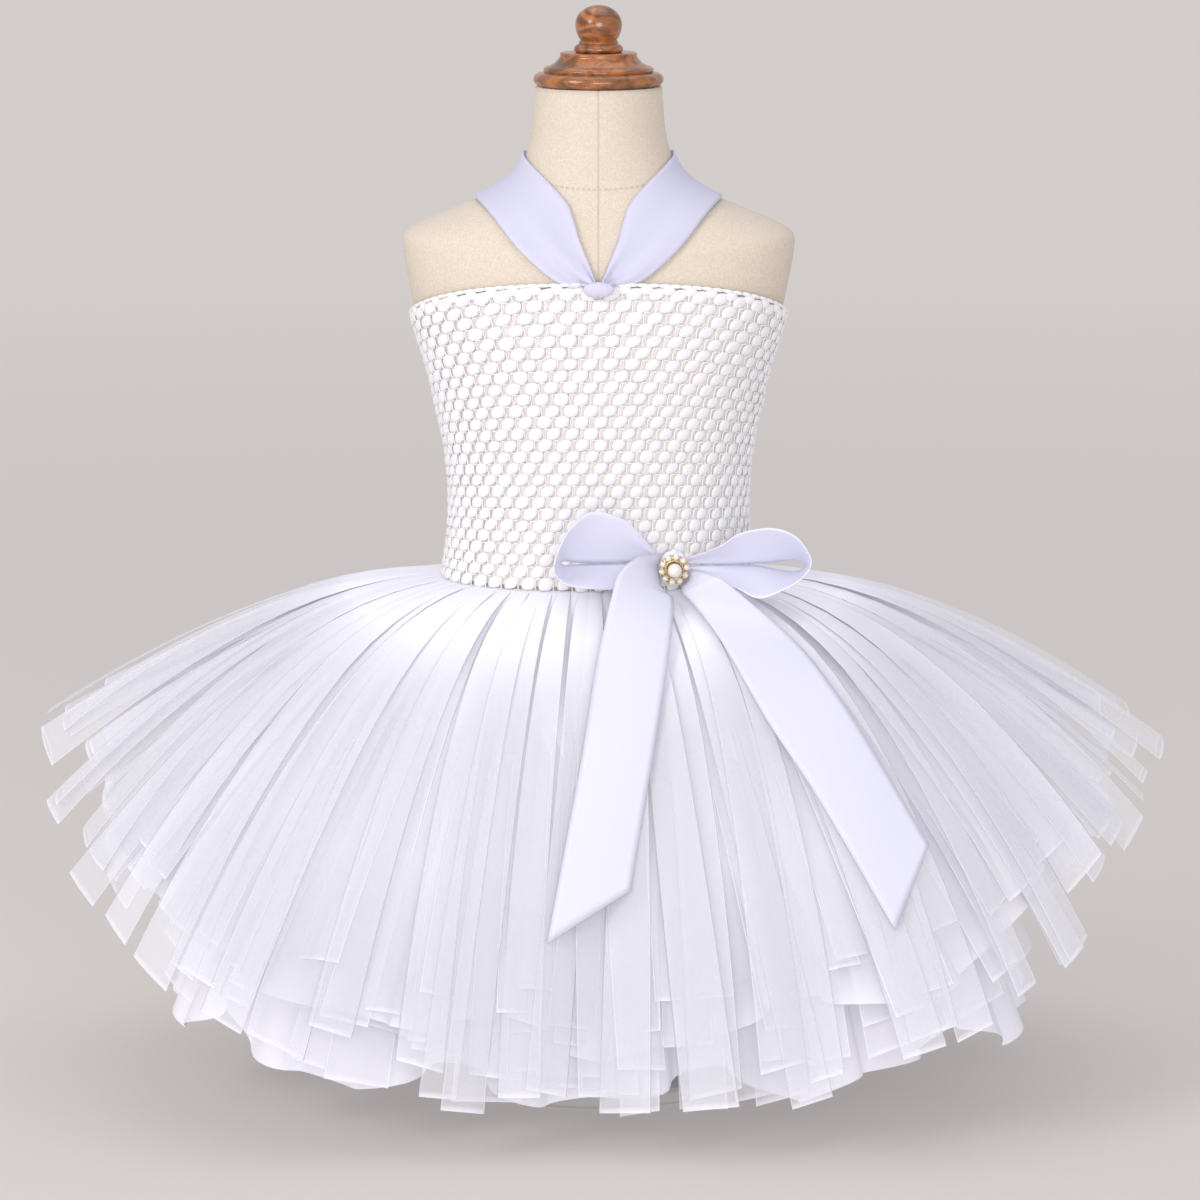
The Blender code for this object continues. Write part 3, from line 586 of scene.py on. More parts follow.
def varnished_wood(colour):
    """Turned hardwood under a worn brown varnish."""
    wood = Finish("turned_wood", roughness=0.30, coat_weight=0.5, coat_roughness=0.12)
    place = wood.object_place()
    _, _, z = wood.parts(place)
    figure = wood.noise(wood.stretched(place, (60.0, 60.0, 130.0)), 1.0, 4.0, 1.6)
    pores = wood.noise(wood.stretched(place, (900.0, 900.0, 260.0)), 1.0, 3.0)
    burl = wood.spread(figure, 0.32, 0.68)
    dark = tinted(colour, 0.45)
    grain = wood.blend(burl, dark, tinted(colour, 1.5))
    flecked = wood.blend(wood.spread(pores, 0.60, 0.75, 0.0, 0.5), grain, dark)
    chips = wood.spread(wood.noise(place, 420.0, 2.0), 0.70, 0.74)
    worn = chips * wood.spread(z, *WORN_HEIGHTS)
    wood.feed("Base Color", wood.blend(worn, flecked, CHIP_COLOUR))
    wood.feed("Roughness", wood.spread(pores, 0.3, 0.8, 0.24, 0.42) + worn * 0.4)
    wood.bump(pores * 0.3 - chips * 0.2, 0.0002, 0.4)
    return wood.material


def gold_plate(colour):
    """Pale gilt with a little wear."""
    gilt = Finish("gilt", metallic=1.0)
    wear = gilt.noise(gilt.object_place(), 700.0, 3.0)
    gilt.feed("Base Color", gilt.blend(wear, tinted(colour, 0.75), colour))
    gilt.feed("Roughness", gilt.spread(wear, 0.3, 0.7, 0.18, 0.36))
    return gilt.material


def pearl_coat(colour):
    """A pearl's warm white coat, cloudier in places."""
    pearl = Finish("pearl", roughness=0.16, coat_weight=0.6, coat_roughness=0.08)
    cloud = pearl.noise(pearl.object_place(), 500.0, 2.0)
    pearl.feed("Base Color", pearl.blend(cloud, tinted(colour, 0.86), colour))
    pearl.feed("Roughness", pearl.spread(cloud, 0.3, 0.7, 0.12, 0.24))
    return pearl.material


def painted_steel(colour):
    """The stand's pale paint, with a faint orange-peel."""
    paint = Finish("stand", roughness=0.4)
    peel = paint.noise(paint.object_place(), 600.0, 2.0)
    smudge = paint.noise(paint.object_place(), 30.0, 3.0)
    paint.feed("Base Color", paint.blend(smudge, tinted(colour, 0.94), colour))
    paint.feed("Roughness", paint.spread(smudge, 0.3, 0.7, 0.34, 0.46))
    paint.bump(peel, 0.0001, 0.3)
    return paint.material


def studio_paper(colour):
    """Plain pale paper for the floor and the sweep, with a painted glow that is weaker near the middle and
    stronger far out.
    """
    paper = Finish("studio_paper", specular=0.1, base_color=(*tinted(colour, 0.72), 1), roughness=0.9,
                   emission_strength=PAPER_GLOW)
    x, y, _ = paper.parts(paper.object_place())
    lit = paper.spread((x * x + y * y) ** 0.5, *LIT_FLOOR)
    paper.feed("Emission Color", paper.blend(lit, tinted(colour, 0.66), colour))
    return paper.material


# ---------------- the stage
CAMERA_DISTANCE = 3.5
CAMERA_RISE = radians(9)
CAMERA_TARGET = (0.0008, 0.0, 0.2765)
FRAME_WIDTH = 0.678         # what the frame spans at the target
SENSOR = 36.0
# The lights: name, place, size in metres, power in watts, colour.
LIGHTS = (
    ("key", (-2.2, -2.2, 1.9), 1.2, 38, (1.0, 0.985, 0.97)),
    ("fill", (0.2, -3.2, 0.9), 1.4, 38, (1.0, 0.995, 1.0)),
    ("top", (0.1, 0.3, 2.7), 2.0, 12, (1.0, 1.0, 1.0)),
)
LIGHTS_TARGET = (0, 0, 0.3)
SKY_COLOUR = (0.95, 0.95, 1.0, 1.0)
SKY_STRENGTH = 0.60
# The sweep's outline from its outer edge to its middle: radius, height.
SWEEP_OUTLINE = (
    (9.2, 2.2), (8.9, 1.5), (8.3, 0.85), (7.4, 0.4), (6.3, 0.12), (5.2, 0.02), (4.4, 0.0), (2.4, 0.0),
    (1.2, 0.0), (0.0, 0.0),
)


def make_camera():
    """A long lens in front of the dress and a little above it."""
    camera = bpy.data.objects.new("camera", bpy.data.cameras.new("camera"))
    camera.data.sensor_width = SENSOR
    camera.data.lens = SENSOR * CAMERA_DISTANCE / FRAME_WIDTH
    away = Vector((0, -cos(CAMERA_RISE), sin(CAMERA_RISE))) * CAMERA_DISTANCE
    camera.location = Vector(CAMERA_TARGET) + away
    camera.rotation_euler = (-away).to_track_quat("-Z", "Y").to_euler()
    bpy.context.scene.collection.objects.link(camera)
    bpy.context.scene.camera = camera


def make_light(name, place, size, power, colour):
    """A soft square light that faces the dress."""
    light = bpy.data.objects.new(name, bpy.data.lights.new(name, "AREA"))
    light.data.shape = "SQUARE"
    light.data.size = size
    light.data.energy = power
    light.data.color = colour
    light.location = place
    aim = Vector(LIGHTS_TARGET) - light.location
    light.rotation_euler = aim.to_track_quat("-Z", "Y").to_euler()
    bpy.context.scene.collection.objects.link(light)


def make_stage(scene):
    """The floor that sweeps up all round, the lights and the camera."""
    sweep = spun(SWEEP_OUTLINE, 64)
    bmesh.ops.reverse_faces(sweep, faces=sweep.faces[:])
    new_piece(sweep, "floor", studio_paper(scene.tutu_colours.paper))
    make_camera()
    for light in LIGHTS:
        make_light(*light)
    world = bpy.data.worlds.new("studio")
    world.use_nodes = True
    background = world.node_tree.nodes["Background"]
    background.inputs["Color"].default_value = SKY_COLOUR
    background.inputs["Strength"].default_value = SKY_STRENGTH
    scene.world = world
    scene.view_settings.view_transform = "Standard"
    scene.cycles.transparent_max_bounces = 13
    scene.cycles.light_sampling_threshold = 0.08
    scene.cycles.diffuse_bounces = 1
    scene.cycles.max_bounces = 3


# ---------------- the dress form
TORSO_AROUND = 96
TORSO_UP = 132
KNOB_STEPS = 12             # down the knob's upper half
KNOB_FOOT_STEPS = 6


def torso_shape():
    """A smooth closed bmesh of the torso, through the same sections as its solid."""
    levels = [row[0] for row in smooth_route([(section[0],) for section in TORSO_SECTIONS], TORSO_UP + 1)]
    shape = bmesh.new()

    def place(column, row):
        return (torso_point(levels[row], -360 * column / TORSO_AROUND),)

    add_cloth(shape, TORSO_AROUND, TORSO_UP, (0.6, 0.45), place, closed=True)
    rims = [edge for edge in shape.edges if edge.is_boundary]
    bmesh.ops.holes_fill(shape, edges=rims)
    bmesh.ops.recalc_face_normals(shape, faces=shape.faces[:])
    return shape


def cap_outline():
    """The neck cap's outline from the knob's top down: radius, height."""
    outline = [(0.0, KNOB_MIDDLE + KNOB_RISE)]
    for step in range(1, KNOB_STEPS + 1):
        angle = radians(90 * (1 - step / KNOB_STEPS))
        outline.append((KNOB_RADIUS * cos(angle), KNOB_MIDDLE + KNOB_RISE * sin(angle)))
    for step in range(1, KNOB_FOOT_STEPS + 1):
        angle = radians(KNOB_FOOT * step / KNOB_FOOT_STEPS)
        outline.append((KNOB_RADIUS * cos(angle), KNOB_MIDDLE - KNOB_FALL * sin(angle)))
    return [*outline, *CAP_OUTLINE, (0.0, CAP_FLOOR)]


def make_form(scene):
    """The linen torso, the varnished cap and the painted stand."""
    colours = scene.tutu_colours
    torso = adopt(torso_shape(), "linen_torso", linen_cloth(colours.linen))
    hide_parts("form_torso")

    cap = adopt(spun(cap_outline(), 72), "turned_cap", varnished_wood(colours.wood))
    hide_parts("form_cap")
    cap.data.set_sharp_from_angle(angle=radians(60))

    paint = painted_steel(colours.stand)
    for name in ("form_base", "form_post"):
        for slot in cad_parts[name].material_slots:
            slot.material = paint


# ---------------- the crochet
ARC_STEPS = 360
STITCH_PITCH = 0.0109       # the stitch grid that the shapes below are drawn on
STITCH_RISE = 0.0065
LINING_OUT = 0.0014         # from the linen to the knitted lining behind the stitches
LINING_STEPS = (96, 20)
JITTER = 0.0003             # how far a stitch may lie from its place
PUFF_SIZE = (0.0043, 0.0037, 0.0011)    # half a stitch's length, height and thickness
PUFF_MIDDLE = (0.0014, 0.0, 0.0027)     # from its place on the grid: along, up, and out from the linen
LINK_SIZE = (0.0034, 0.0012, 0.0013)    # half a link of the top chain
LINK_OUT = 0.0026
POST_SIZE = (0.0036, 0.0030, 0.0017)    # half a short post under it
POST_OUT = 0.0024


def arc_table(height, out):
    """Azimuths at equal steps round the bodice at a height, from the front's middle."""
    points = [torso_point(height, 360 * step / ARC_STEPS, out) for step in range(ARC_STEPS + 1)]
    run = [0.0]
    for first, second in zip(points, points[1:]):
        run.append(run[-1] + (second - first).length)
    azimuths = []
    index = 0
    for step in range(ARC_STEPS + 1):
        target = run[-1] * step / ARC_STEPS
        while index < ARC_STEPS - 1 and run[index + 1] < target:
            index += 1
        share = (target - run[index]) / (run[index + 1] - run[index])
        azimuths.append(360 * (index + share) / ARC_STEPS)
    return azimuths


def make_bodice(scene):
    """The crochet: staggered puffs, the threads round the holes between them, the top edge and a lining."""
    colours = scene.tutu_colours
    columns, rows = scene.tutu_sizes.stitch_columns, scene.tutu_sizes.stitch_rows
    heights = [BODICE_BOTTOM + (row + 0.5) / rows * bodice_height(0) for row in range(rows + 1)]
    tables = [arc_table(height, BODICE_OUT) for height in heights]
    random = Random(11)

    def azimuth_at(column, row):
        """The azimuth of a column, at equal steps round the bodice at a row's height."""
        share = (column / columns) % 1.0 * ARC_STEPS
        index = min(int(share), ARC_STEPS - 1)
        azimuths = tables[min(int(row), rows)]
        return azimuths[index] + (azimuths[index + 1] - azimuths[index]) * (share - index)

    def on_bodice(column, row, point):
        """A point that is drawn flat round a place of the stitch grid, wrapped on to the bodice."""
        azimuth = azimuth_at(column + point.x / STITCH_PITCH, row)
        return bodice_point(azimuth, (row + point.y / STITCH_RISE) / rows, point.z)

    def settle(shape, verts, column, row):
        """Give a flat stitch its UV map, and wrap it on to the bodice."""
        cloth = shape.loops.layers.uv.verify()
        shift = random.uniform(0, 0.01)
        for face in {face for vert in verts for face in vert.link_faces}:
            for loop in face.loops:
                loop[cloth].uv = (loop.vert.co.x + shift, loop.vert.co.y)
        for vert in verts:
            vert.co = on_bodice(column, row, vert.co)

    puffs = bmesh.new()
    threads = bmesh.new()
    for row in range(rows):
        stitches = bmesh.new()
        arches = bmesh.new()
        for column in range(columns):
            place = column + 0.5 * (row % 2)
            add_puff(stitches, random, settle, place, row + 0.5)
            add_arch(arches, random, on_bodice, place, row + 0.5)
        gather_row(puffs, stitches)
        gather_row(threads, arches)
    yarn = crochet_yarn(colours.crochet)
    bodice = adopt(puffs, "crochet_stitches", yarn)
    arches = adopt(threads, "crochet_threads", yarn)
    edging = adopt(crochet_edging(columns, rows, random, settle), "crochet_edging", yarn)
    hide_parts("bodice")
    make_lining(colours.lining)


def make_lining(colour):
    """The knitted lining, which shows through the crochet's holes."""
    shape = bmesh.new()
    around, up = LINING_STEPS

    def place(column, row):
        return (bodice_point(-360 * column / around, 0.01 + 0.97 * row / up, LINING_OUT),)

    add_cloth(shape, around, up, (0.52, 0.150), place, closed=True)
    lining = adopt(shape, "bodice_lining", knitted_lining(colour))


def gather_row(whole, row):
    """Move a row's bmesh into the whole piece's; short ones keep the many small steps quick."""
    mesh = bpy.data.meshes.new("row")
    row.to_mesh(mesh)
    row.free()
    whole.from_mesh(mesh)
    bpy.data.meshes.remove(mesh)


def add_stitch(shape, settle, column, row, form):
    """A unit ball whose points are moved by form and then settled in a place of the stitch grid."""
    made = bmesh.ops.create_icosphere(shape, subdivisions=2, radius=1.0)["verts"]
    for vert in made:
        vert.co = form(*vert.co)
    settle(shape, made, column, row)


def add_puff(shape, random, settle, column, row):
    """One broad, low stitch that leans to the upper right and leaves a hole on its left."""
    size = random.uniform(0.95, 1.06)
    lean = random.uniform(0.6, 1.4)
    length, height, depth = PUFF_SIZE
    middle = Vector([part + random.uniform(-JITTER, JITTER) for part in PUFF_MIDDLE])

    def form(x, y, z):
        square = (abs(x) ** 3.4 + abs(y) ** 3.0 + abs(z) ** 2.2) ** (1 / 2.8)
        x, y, z = x / square, y / square, z / square
        fall = 0.0004 * x                # its right end tucks under the next stitch
        along = (x * length + y * 0.0007 * lean) * size
        up = (y * height + x * 0.0004 * lean) * size
        return middle + Vector((along, up, z * depth - fall))

    add_stitch(shape, settle, column, row, form)


ARCH_SIDES = 5
ARCH_RADIUS = 0.00042
ARCH_OUT = 0.0033           # from the linen to the middle of the thread


def add_arch(shape, random, on_bodice, column, row):
    """The thread that runs up the left of a hole and over its top."""
    left = -0.0047 + random.uniform(-JITTER, JITTER)
    top = 0.0029 + random.uniform(-0.0004, JITTER)
    right = left + 0.0030
    route = [(left + 0.0002, -0.0034), (left - 0.0001, -0.0012), (left - 0.0001, 0.0012),
             (left + 0.0001, top - 0.0007), (left + 0.0008, top), (right - 0.0008, top + 0.0001),
             (right + 0.0006, top - 0.0003)]
    steps = len(route) - 1

    def place(side, step):
        before = route[max(step - 1, 0)]
        after = route[min(step + 1, steps)]
        run = Vector((after[0] - before[0], after[1] - before[1], 0)).normalized()
        angle = tau * side / ARCH_SIDES
        offset = Vector((-run.y, run.x, 0)) * (ARCH_RADIUS * cos(angle))
        offset.z = ARCH_RADIUS * sin(angle)
        return (on_bodice(column, row, Vector((*route[step], ARCH_OUT)) + offset),)

    add_cloth(shape, ARCH_SIDES, steps, (0.0030, 0.012), place, closed=True)


def crochet_edging(columns, rows, random, settle):
    """The chain along the top edge, two links to a stitch, and the short posts under it."""

    def post(x, y, z):
        return Vector((x * POST_SIZE[0], y * POST_SIZE[1], z * POST_SIZE[2] + POST_OUT))

    whole = bmesh.new()
    for step in range(columns * 2):
        shape = bmesh.new()
        column = step / 2
        tilt = random.uniform(-0.15, 0.15)

        def link(x, y, z):
            up = y * LINK_SIZE[1] + x * tilt * 0.001 + 0.0003
            return Vector((x * LINK_SIZE[0], up, z * LINK_SIZE[2] + LINK_OUT))

        add_stitch(shape, settle, column, rows + 0.20, link)
        if step % 2 == rows % 2:
            add_stitch(shape, settle, column + 0.15, rows - 0.15, post)
        gather_row(whole, shape)
    return whole


# ---------------- the tulle
TUBE_SECTION = (-1.0, -0.94, -0.55, 0.0, 0.55, 0.94, 1.0)
TUBE_ROWS = (0.0, 0.05, 0.11, 0.18, 0.26, 0.34, 0.42, 0.50, 0.58, 0.66, 0.74, 0.82, 0.89, 0.95, 0.993, 1.0)
CREASE = 0.60               # how much denser the net looks along a crease
CUT_EDGE = 0.35             # and along its cut edge
RUFFLE_EDGE = 0.4           # and along a ruffle's
SPRING = 0.001              # from the row to a strip where it leaves the waist
LEAST_WAY = 0.004           # the least share of the way down at which a strip has points
WAIST_WIDTH = 0.0065        # of a strip, bunched under its knot
WAIST_DEPTH = 0.0009
STRIPS_TOGETHER = 12        # strips that are built in one small bmesh
RUFFLE_STEPS = 18
PLEAT_STEPS = 8


def strip_frames(rim, azimuth, drift, length, lift, sag, roll, wander, random):
    """The places along one strip: point, direction across and direction out, from waist to hem."""
    frames = []
    phase = random.uniform(0, tau)
    for share in TUBE_ROWS:
        turned = azimuth + drift * share * share + wander * sin(phase + 5 * share) * share
        out = SPRING + (lift - SPRING) * ease(share * 2.2) - sag * sin(pi * share)
        along = max(share * length, LEAST_WAY)
        point = skirt_point(turned, along, rim, out)
        ahead = skirt_point(turned, along + 0.02, rim, out) - skirt_point(turned, along - 0.003, rim, out)
        across = skirt_point(turned + 1, along, rim, out) - skirt_point(turned - 1, along, rim, out)
        across = across.normalized()
        outward = ahead.cross(across).normalized()
        turn = roll * share
        frames.append((point, across * cos(turn) + outward * sin(turn),
                       outward * cos(turn) - across * sin(turn)))
    return frames


def cover_along(share, bunched, spread, hem):
    """How dense a row looks along its strips: closed up to bunched, and as at the hem from spread on."""
    return hem + (1 - hem) * (1 - ease((share - bunched) / (spread - bunched)))


def add_tube(shape, frames, hem, depth, cover, whole, random):
    """One strip folded into a flat tube, which opens towards its hem, or only its outer face."""
    section = [(x, 1 - x * x) for x in TUBE_SECTION]
    if whole:
        section += [(-x, x * x - 1) for x in TUBE_SECTION[1:]]
    section.reverse()
    skew = random.uniform(-0.20, 0.20)
    slant = random.uniform(-0.10, 0.10)
    density = random.uniform(0.8, 1.2)

    def place(column, row):
        share = TUBE_ROWS[row]
        width = WAIST_WIDTH + (hem - WAIST_WIDTH) * share ** 0.85
        thick = WAIST_DEPTH + (depth - WAIST_DEPTH) * share ** 4
        x, z = section[column]
        point, across, outward = frames[row]
        sideways = across * (x * width / 2 + skew * z * thick)
        down = Vector((0, 0, slant * x * width / 2)) * share
        bunched, spread, at_hem = cover
        dense = cover_along(share, bunched, spread, at_hem * density)
        line = CREASE if abs(x) > 0.99 else 0.0
        if share == 1.0:
            line = max(line, CUT_EDGE)
        return point + sideways + outward * (z * thick / 2) + down, dense + (1 - dense) * line

    add_cloth(shape, len(section) - 1, len(TUBE_ROWS) - 1, (2 * hem if whole else hem, 0.3), place,
              closed=whole, origin=random.uniform(0, 1))


def tulle_bmesh():
    """An empty bmesh with the layer that says how dense the net looks."""
    shape = bmesh.new()
    shape.verts.layers.float.new("cover")
    return shape


def add_strips(gathered, rim, count, lift, sag, width, cover, lengths, seed, whole=True):
    """A ring of folded strips round one row; whole keeps both faces of each fold."""
    random = Random(seed)
    shape = tulle_bmesh()
    for index in range(count):
        azimuth = 360 * (index + random.uniform(-0.35, 0.35)) / count
        frames = strip_frames(
            rim, azimuth, random.uniform(-3.5, 3.5), random.uniform(*lengths),
            lift + random.uniform(-0.0015, 0.0015), sag * random.uniform(0.5, 1.2),
            random.uniform(-0.40, 0.40), random.uniform(-0.8, 0.8), random)
        hem = width * random.uniform(0.70, 1.30)
        add_tube(shape, frames, hem, random.uniform(0.003, 0.008), cover, whole, random)
        if (index + 1) % STRIPS_TOGETHER == 0 or index == count - 1:
            gather_row(gathered, shape)
            shape = tulle_bmesh()
    shape.free()


def add_ruffle(shape, rim, pleats, lift, sag, depth, cover, length, seed):
    """A soft skin of unfolded strips that waves in and out all round."""
    random = Random(seed)
    around = pleats * PLEAT_STEPS
    phases = [random.uniform(0, tau) for _ in range(3)]

    def place(column, row):
        turn = column / around
        share = row / RUFFLE_STEPS
        wave = sin(tau * pleats * turn + 0.5 * sin(tau * 7 * turn + phases[0]) * share)
        slow = sin(tau * 9 * turn + phases[1]) + 0.6 * sin(tau * 17 * turn + phases[2])
        out = lift * ease(share * 3) - sag * sin(pi * share) + depth * share * wave + 0.0015 * slow * share
        along = max(share * length * (1 + 0.018 * slow * share), LEAST_WAY)
        azimuth = -360 * turn + 1.2 * share * sin(tau * pleats * turn + 1.0)
        point = skirt_point(azimuth, along, rim, out)
        dense = cover_along(share, *cover)
        line = RUFFLE_EDGE if row == RUFFLE_STEPS else 0.0
        return point, dense + (1 - dense) * line

    add_cloth(shape, around, RUFFLE_STEPS, (1.8, 0.3), place, closed=True)


# For each ring: the share of its length where its cover starts to thin, the share from which it is as
# thin as at the hem, and its cover there.
TOP_COVER = (0.10, 0.56, 0.18)
NEXT_COVER = (0.20, 0.74, 0.28)
BODY_COVER = (0.64, 1.0, 0.24)
MIDDLE_COVER = (0.72, 0.98, 0.36)
INNER_COVER = (0.92, 1.0, 0.80)


def make_skirt(scene):
    """The three rows of knotted strips."""
    tulle = net(scene.tutu_colours.tulle, scene.tutu_sizes.net_pitch)
    width = scene.tutu_sizes.strip_width
    outer = tulle_bmesh()
    add_strips(outer, OUTER_RIM, 66, 0.0035, 0.0, width * 1.1, TOP_COVER, (0.93, 1.0), 3)
    add_strips(outer, OUTER_RIM, 96, -0.0015, 0.005, width * 0.95, NEXT_COVER, (0.84, 0.95), 4, False)
    add_ruffle(outer, OUTER_RIM, 48, -0.0050, 0.010, 0.0018, BODY_COVER, 0.90, 9)
    outer = adopt(outer, "tulle_strips_outer", tulle)
    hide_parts("tulle_outer")

    middle = tulle_bmesh()
    add_strips(middle, MIDDLE_RIM, 84, 0.0015, 0.0, width * 1.25, MIDDLE_COVER, (0.88, 1.0), 5, False)
    middle = adopt(middle, "tulle_strips_middle", tulle)
    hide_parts("tulle_middle")

    inner = tulle_bmesh()
    add_ruffle(inner, INNER_RIM, 36, 0.0015, 0.0, 0.0035, INNER_COVER, 1.0, 7)
    inner = adopt(inner, "tulle_strips_inner", tulle)
    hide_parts("tulle_inner")


# ---------------- the satin
BAND_STEPS = (12, 89)       # across and along
STRAP_STEPS = (16, 69)
NAPE_END_STEPS = (12, 30)
NAPE_END_SPREAD = ((0.20,), (0.42,), (0.80,), (1.0,), (1.0,))   # its width, as shares of the ribbon's


def band_shape(left, right, lift, length):
    """A satin band between two edges; lift(share across, share along) moves it out."""
    columns, rows = BAND_STEPS
    left = [Vector(point) for point in smooth_route(left, rows + 1)]
    right = [Vector(point) for point in smooth_route(right, rows + 1)]

    def place(column, row):
        share = column / columns
        before = max(row - 1, 0)
        after = min(row + 1, rows)
        side = right[row] - left[row]
        ahead = left[after] + right[after] - left[before] - right[before]
        normal = ahead.cross(side).normalized()
        return (left[row] + side * share + normal * lift(share, row / rows),)

    shape = bmesh.new()
    add_cloth(shape, columns, rows, (RIBBON_WIDTH, length), place)
    return shape


TUCK_SHARE = 0.20           # of a strap, over which it comes out to lie over the crochet's top edge
OVER_EDGE = 0.0040          # and how far out it lies where it goes into the gather
TUCKED_WIDTH = 0.0060       # a strap's width at the gather
INNER_EDGE = 0.0006         # from the middle to a strap's inner edge at the gather
INNER_SPREAD = 0.36         # and how far it moves out for each metre up
FOLD_DEPTH = 0.0021
GATHER_LIFT = 0.0019        # how far a strap stands out, whole, where it is gathered
NAPE_GAP = 0.0012           # from the middle to a loose end
NAPE_END_LIFT = 0.0006      # from a strap to a loose end
LOOP_PUFF = 0.0032          # four times how far a loop bulges along its middle
TAIL_PUFF = 0.0040          # and a tail
TIP_CURL = 0.0006
TAIL_WAVE = 0.0009
TAIL_GATHER = 0.0007


def strap_width(share):
    """The halter ribbon's width: gathered at both knots, and full over the shoulder."""
    if share < 0.5:
        return TUCKED_WIDTH + (RIBBON_WIDTH - TUCKED_WIDTH) * ease(share / 0.46)
    return KNOTTED_WIDTH + (RIBBON_WIDTH - KNOTTED_WIDTH) * ease((1 - share) / 0.14)


def strap_folds(side, across, share):
    """How far a strap's folds stand out near its knots, in metres."""
    front = max(1 - share / 0.52, 0.0) * min(share / 0.04, 1.0)
    back = max(1 - (1 - share) / 0.18, 0.0)
    drift = 0.5 if side < 0 else -0.35
    fold = sin(tau * (1.7 * across + drift * (1 - share) + 0.1)) * front ** 0.8
    fold += 0.6 * sin(tau * (3.1 * across + 0.4 + 0.4 * share)) * front ** 1.5
    fold += 0.8 * sin(tau * 2.5 * across) * back
    return FOLD_DEPTH * fold + GATHER_LIFT * front


def on_skin(skin, place, lift):
    """The torso's nearest point to a place, moved out from its skin."""
    spot, outward, _, _ = skin.find_nearest(place)
    return spot + outward * lift


def strap_shape(skin, side):
    """A halter strap's bmesh, from the gather over the shoulder to the nape."""
    columns, rows = STRAP_STEPS
    route = smooth_route(HALTER_TUCK + HALTER_ROUTE, rows + 1)
    route = [Vector((side * x, y, z)) for x, y, z in route]

    def place(column, row):
        share = row / rows
        across = column / columns
        reach = across * 2 - 1
        tangent = route[min(row + 1, rows)] - route[max(row - 1, 0)]
        _, normal, _, _ = skin.find_nearest(route[row])
        half = normal.cross(tangent).normalized() * (strap_width(share) / 2)
        towards = -1 if side * half.x > 0 else 1
        edge = route[row] + half * towards
        inner = INNER_EDGE + INNER_SPREAD * (edge.z - FRONT_KNOT_HEIGHT)
        push = max(inner - side * edge.x, 0.0) if edge.y < 0 else 0.0
        spot = route[row] + half * reach
        spot.x += side * push * (1 + reach * towards) / 2
        over_edge = OVER_EDGE * ease(1 - share / TUCK_SHARE)
        return (on_skin(skin, spot, STRAP_LIFT + over_edge + strap_folds(side, across, share)),)

    shape = bmesh.new()
    add_cloth(shape, columns, rows, (RIBBON_WIDTH, 0.19), place)
    return shape


def nape_end_shape(skin, side):
    """The bmesh of a loose end that hangs down the back from the nape's tie."""
    columns, rows = NAPE_END_STEPS
    widths = smooth_route(NAPE_END_SPREAD, rows + 1)

    def place(column, row):
        share = row / rows
        outwards = column / columns
        x = side * (NAPE_GAP + 0.004 * share + widths[row][0] * RIBBON_WIDTH * outwards)
        height = NAPE_TAIL_TOP - NAPE_TAIL_LENGTH * share * (1 - 0.2 * outwards)
        back = torso_point(height, 180).y
        fold = 0.0008 * sin(tau * 1.5 * outwards + 1) * (1 - share)
        fold += 0.0006 * sin(3 * share + 2 * outwards)
        return (on_skin(skin, Vector((x, back, height)), STRAP_LIFT + NAPE_END_LIFT + fold),)

    shape = bmesh.new()
    add_cloth(shape, columns, rows, (RIBBON_WIDTH, NAPE_TAIL_LENGTH), place)
    return shape


def make_halter(satin):
    """The straps, the tie at the nape with its ends, and the gather at the front."""
    shape = torso_shape()
    skin = BVHTree.FromBMesh(shape)
    shape.free()
    for name, side in (("left", -1), ("right", 1)):
        strap = ribbon_piece(strap_shape(skin, side), "halter_strap_" + name, satin)
        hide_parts("halter_" + name)

        tail = ribbon_piece(nape_end_shape(skin, side), "nape_end_" + name, satin)
        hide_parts("nape_tail_" + name)

    front = torso_point(FRONT_KNOT_HEIGHT, 0, BODICE_OUT + SEAM_GAP)
    front.y -= FRONT_KNOT_DEPTH / 2
    knot = satin_knot("halter_gather", front, GATHER_SIZE, 0, satin, 5)
    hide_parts("halter_knot")
    back = torso_point(NAPE_KNOT_HEIGHT, 180, NAPE_KNOT_BACK)
    back.y += NAPE_KNOT_SIZE[1] / 2
    knot = satin_knot("nape_tie", back, NAPE_KNOT_SIZE, 0, satin, 4)
    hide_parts("nape_knot")


def satin_knot(name, centre, size, facing, satin, folds):
    """A small satin knot: a soft lump whose folds run round it."""
    shape = bmesh.new()
    made = bmesh.ops.create_uvsphere(shape, u_segments=48, v_segments=28, radius=0.5)["verts"]
    cloth = shape.loops.layers.uv.verify()
    for face in shape.faces:
        for loop in face.loops:
            loop[cloth].uv = (0.006 + 0.02 * (loop.vert.co.x + 0.5), 0.03 * (loop.vert.co.z + 0.5))
    for vert in made:
        x, y, z = vert.co
        around = atan2(z, -y)
        swell = 1 + 0.05 * sin(folds * tau * x + 1.3 * sin(around)) - 0.06 * cos(2 * around)
        vert.co = Vector((x, y * swell, z * swell))
    turn = Matrix.Rotation(radians(facing), 4, "Z")
    shape.transform(Matrix.Translation(centre) @ turn @ Matrix.Diagonal((*size, 1)))
    return adopt(shape, name, satin)


def bow_centre():
    """The bow's place on the crochet's outer face."""
    share = (BOW_HEIGHT - BODICE_BOTTOM) / (BODICE_TOP + BODICE_LIFT - BODICE_BOTTOM)
    return bodice_point(BOW_AZIMUTH, share, BODICE_OUT)


def bow_edge(rows, first, side):
    """One edge of a bow's ribbon, from its three columns in millimetres."""
    centre = bow_centre()
    return [centre + Vector((side * row[first], -row[first + 2], row[first + 1])) / 1000 for row in rows]


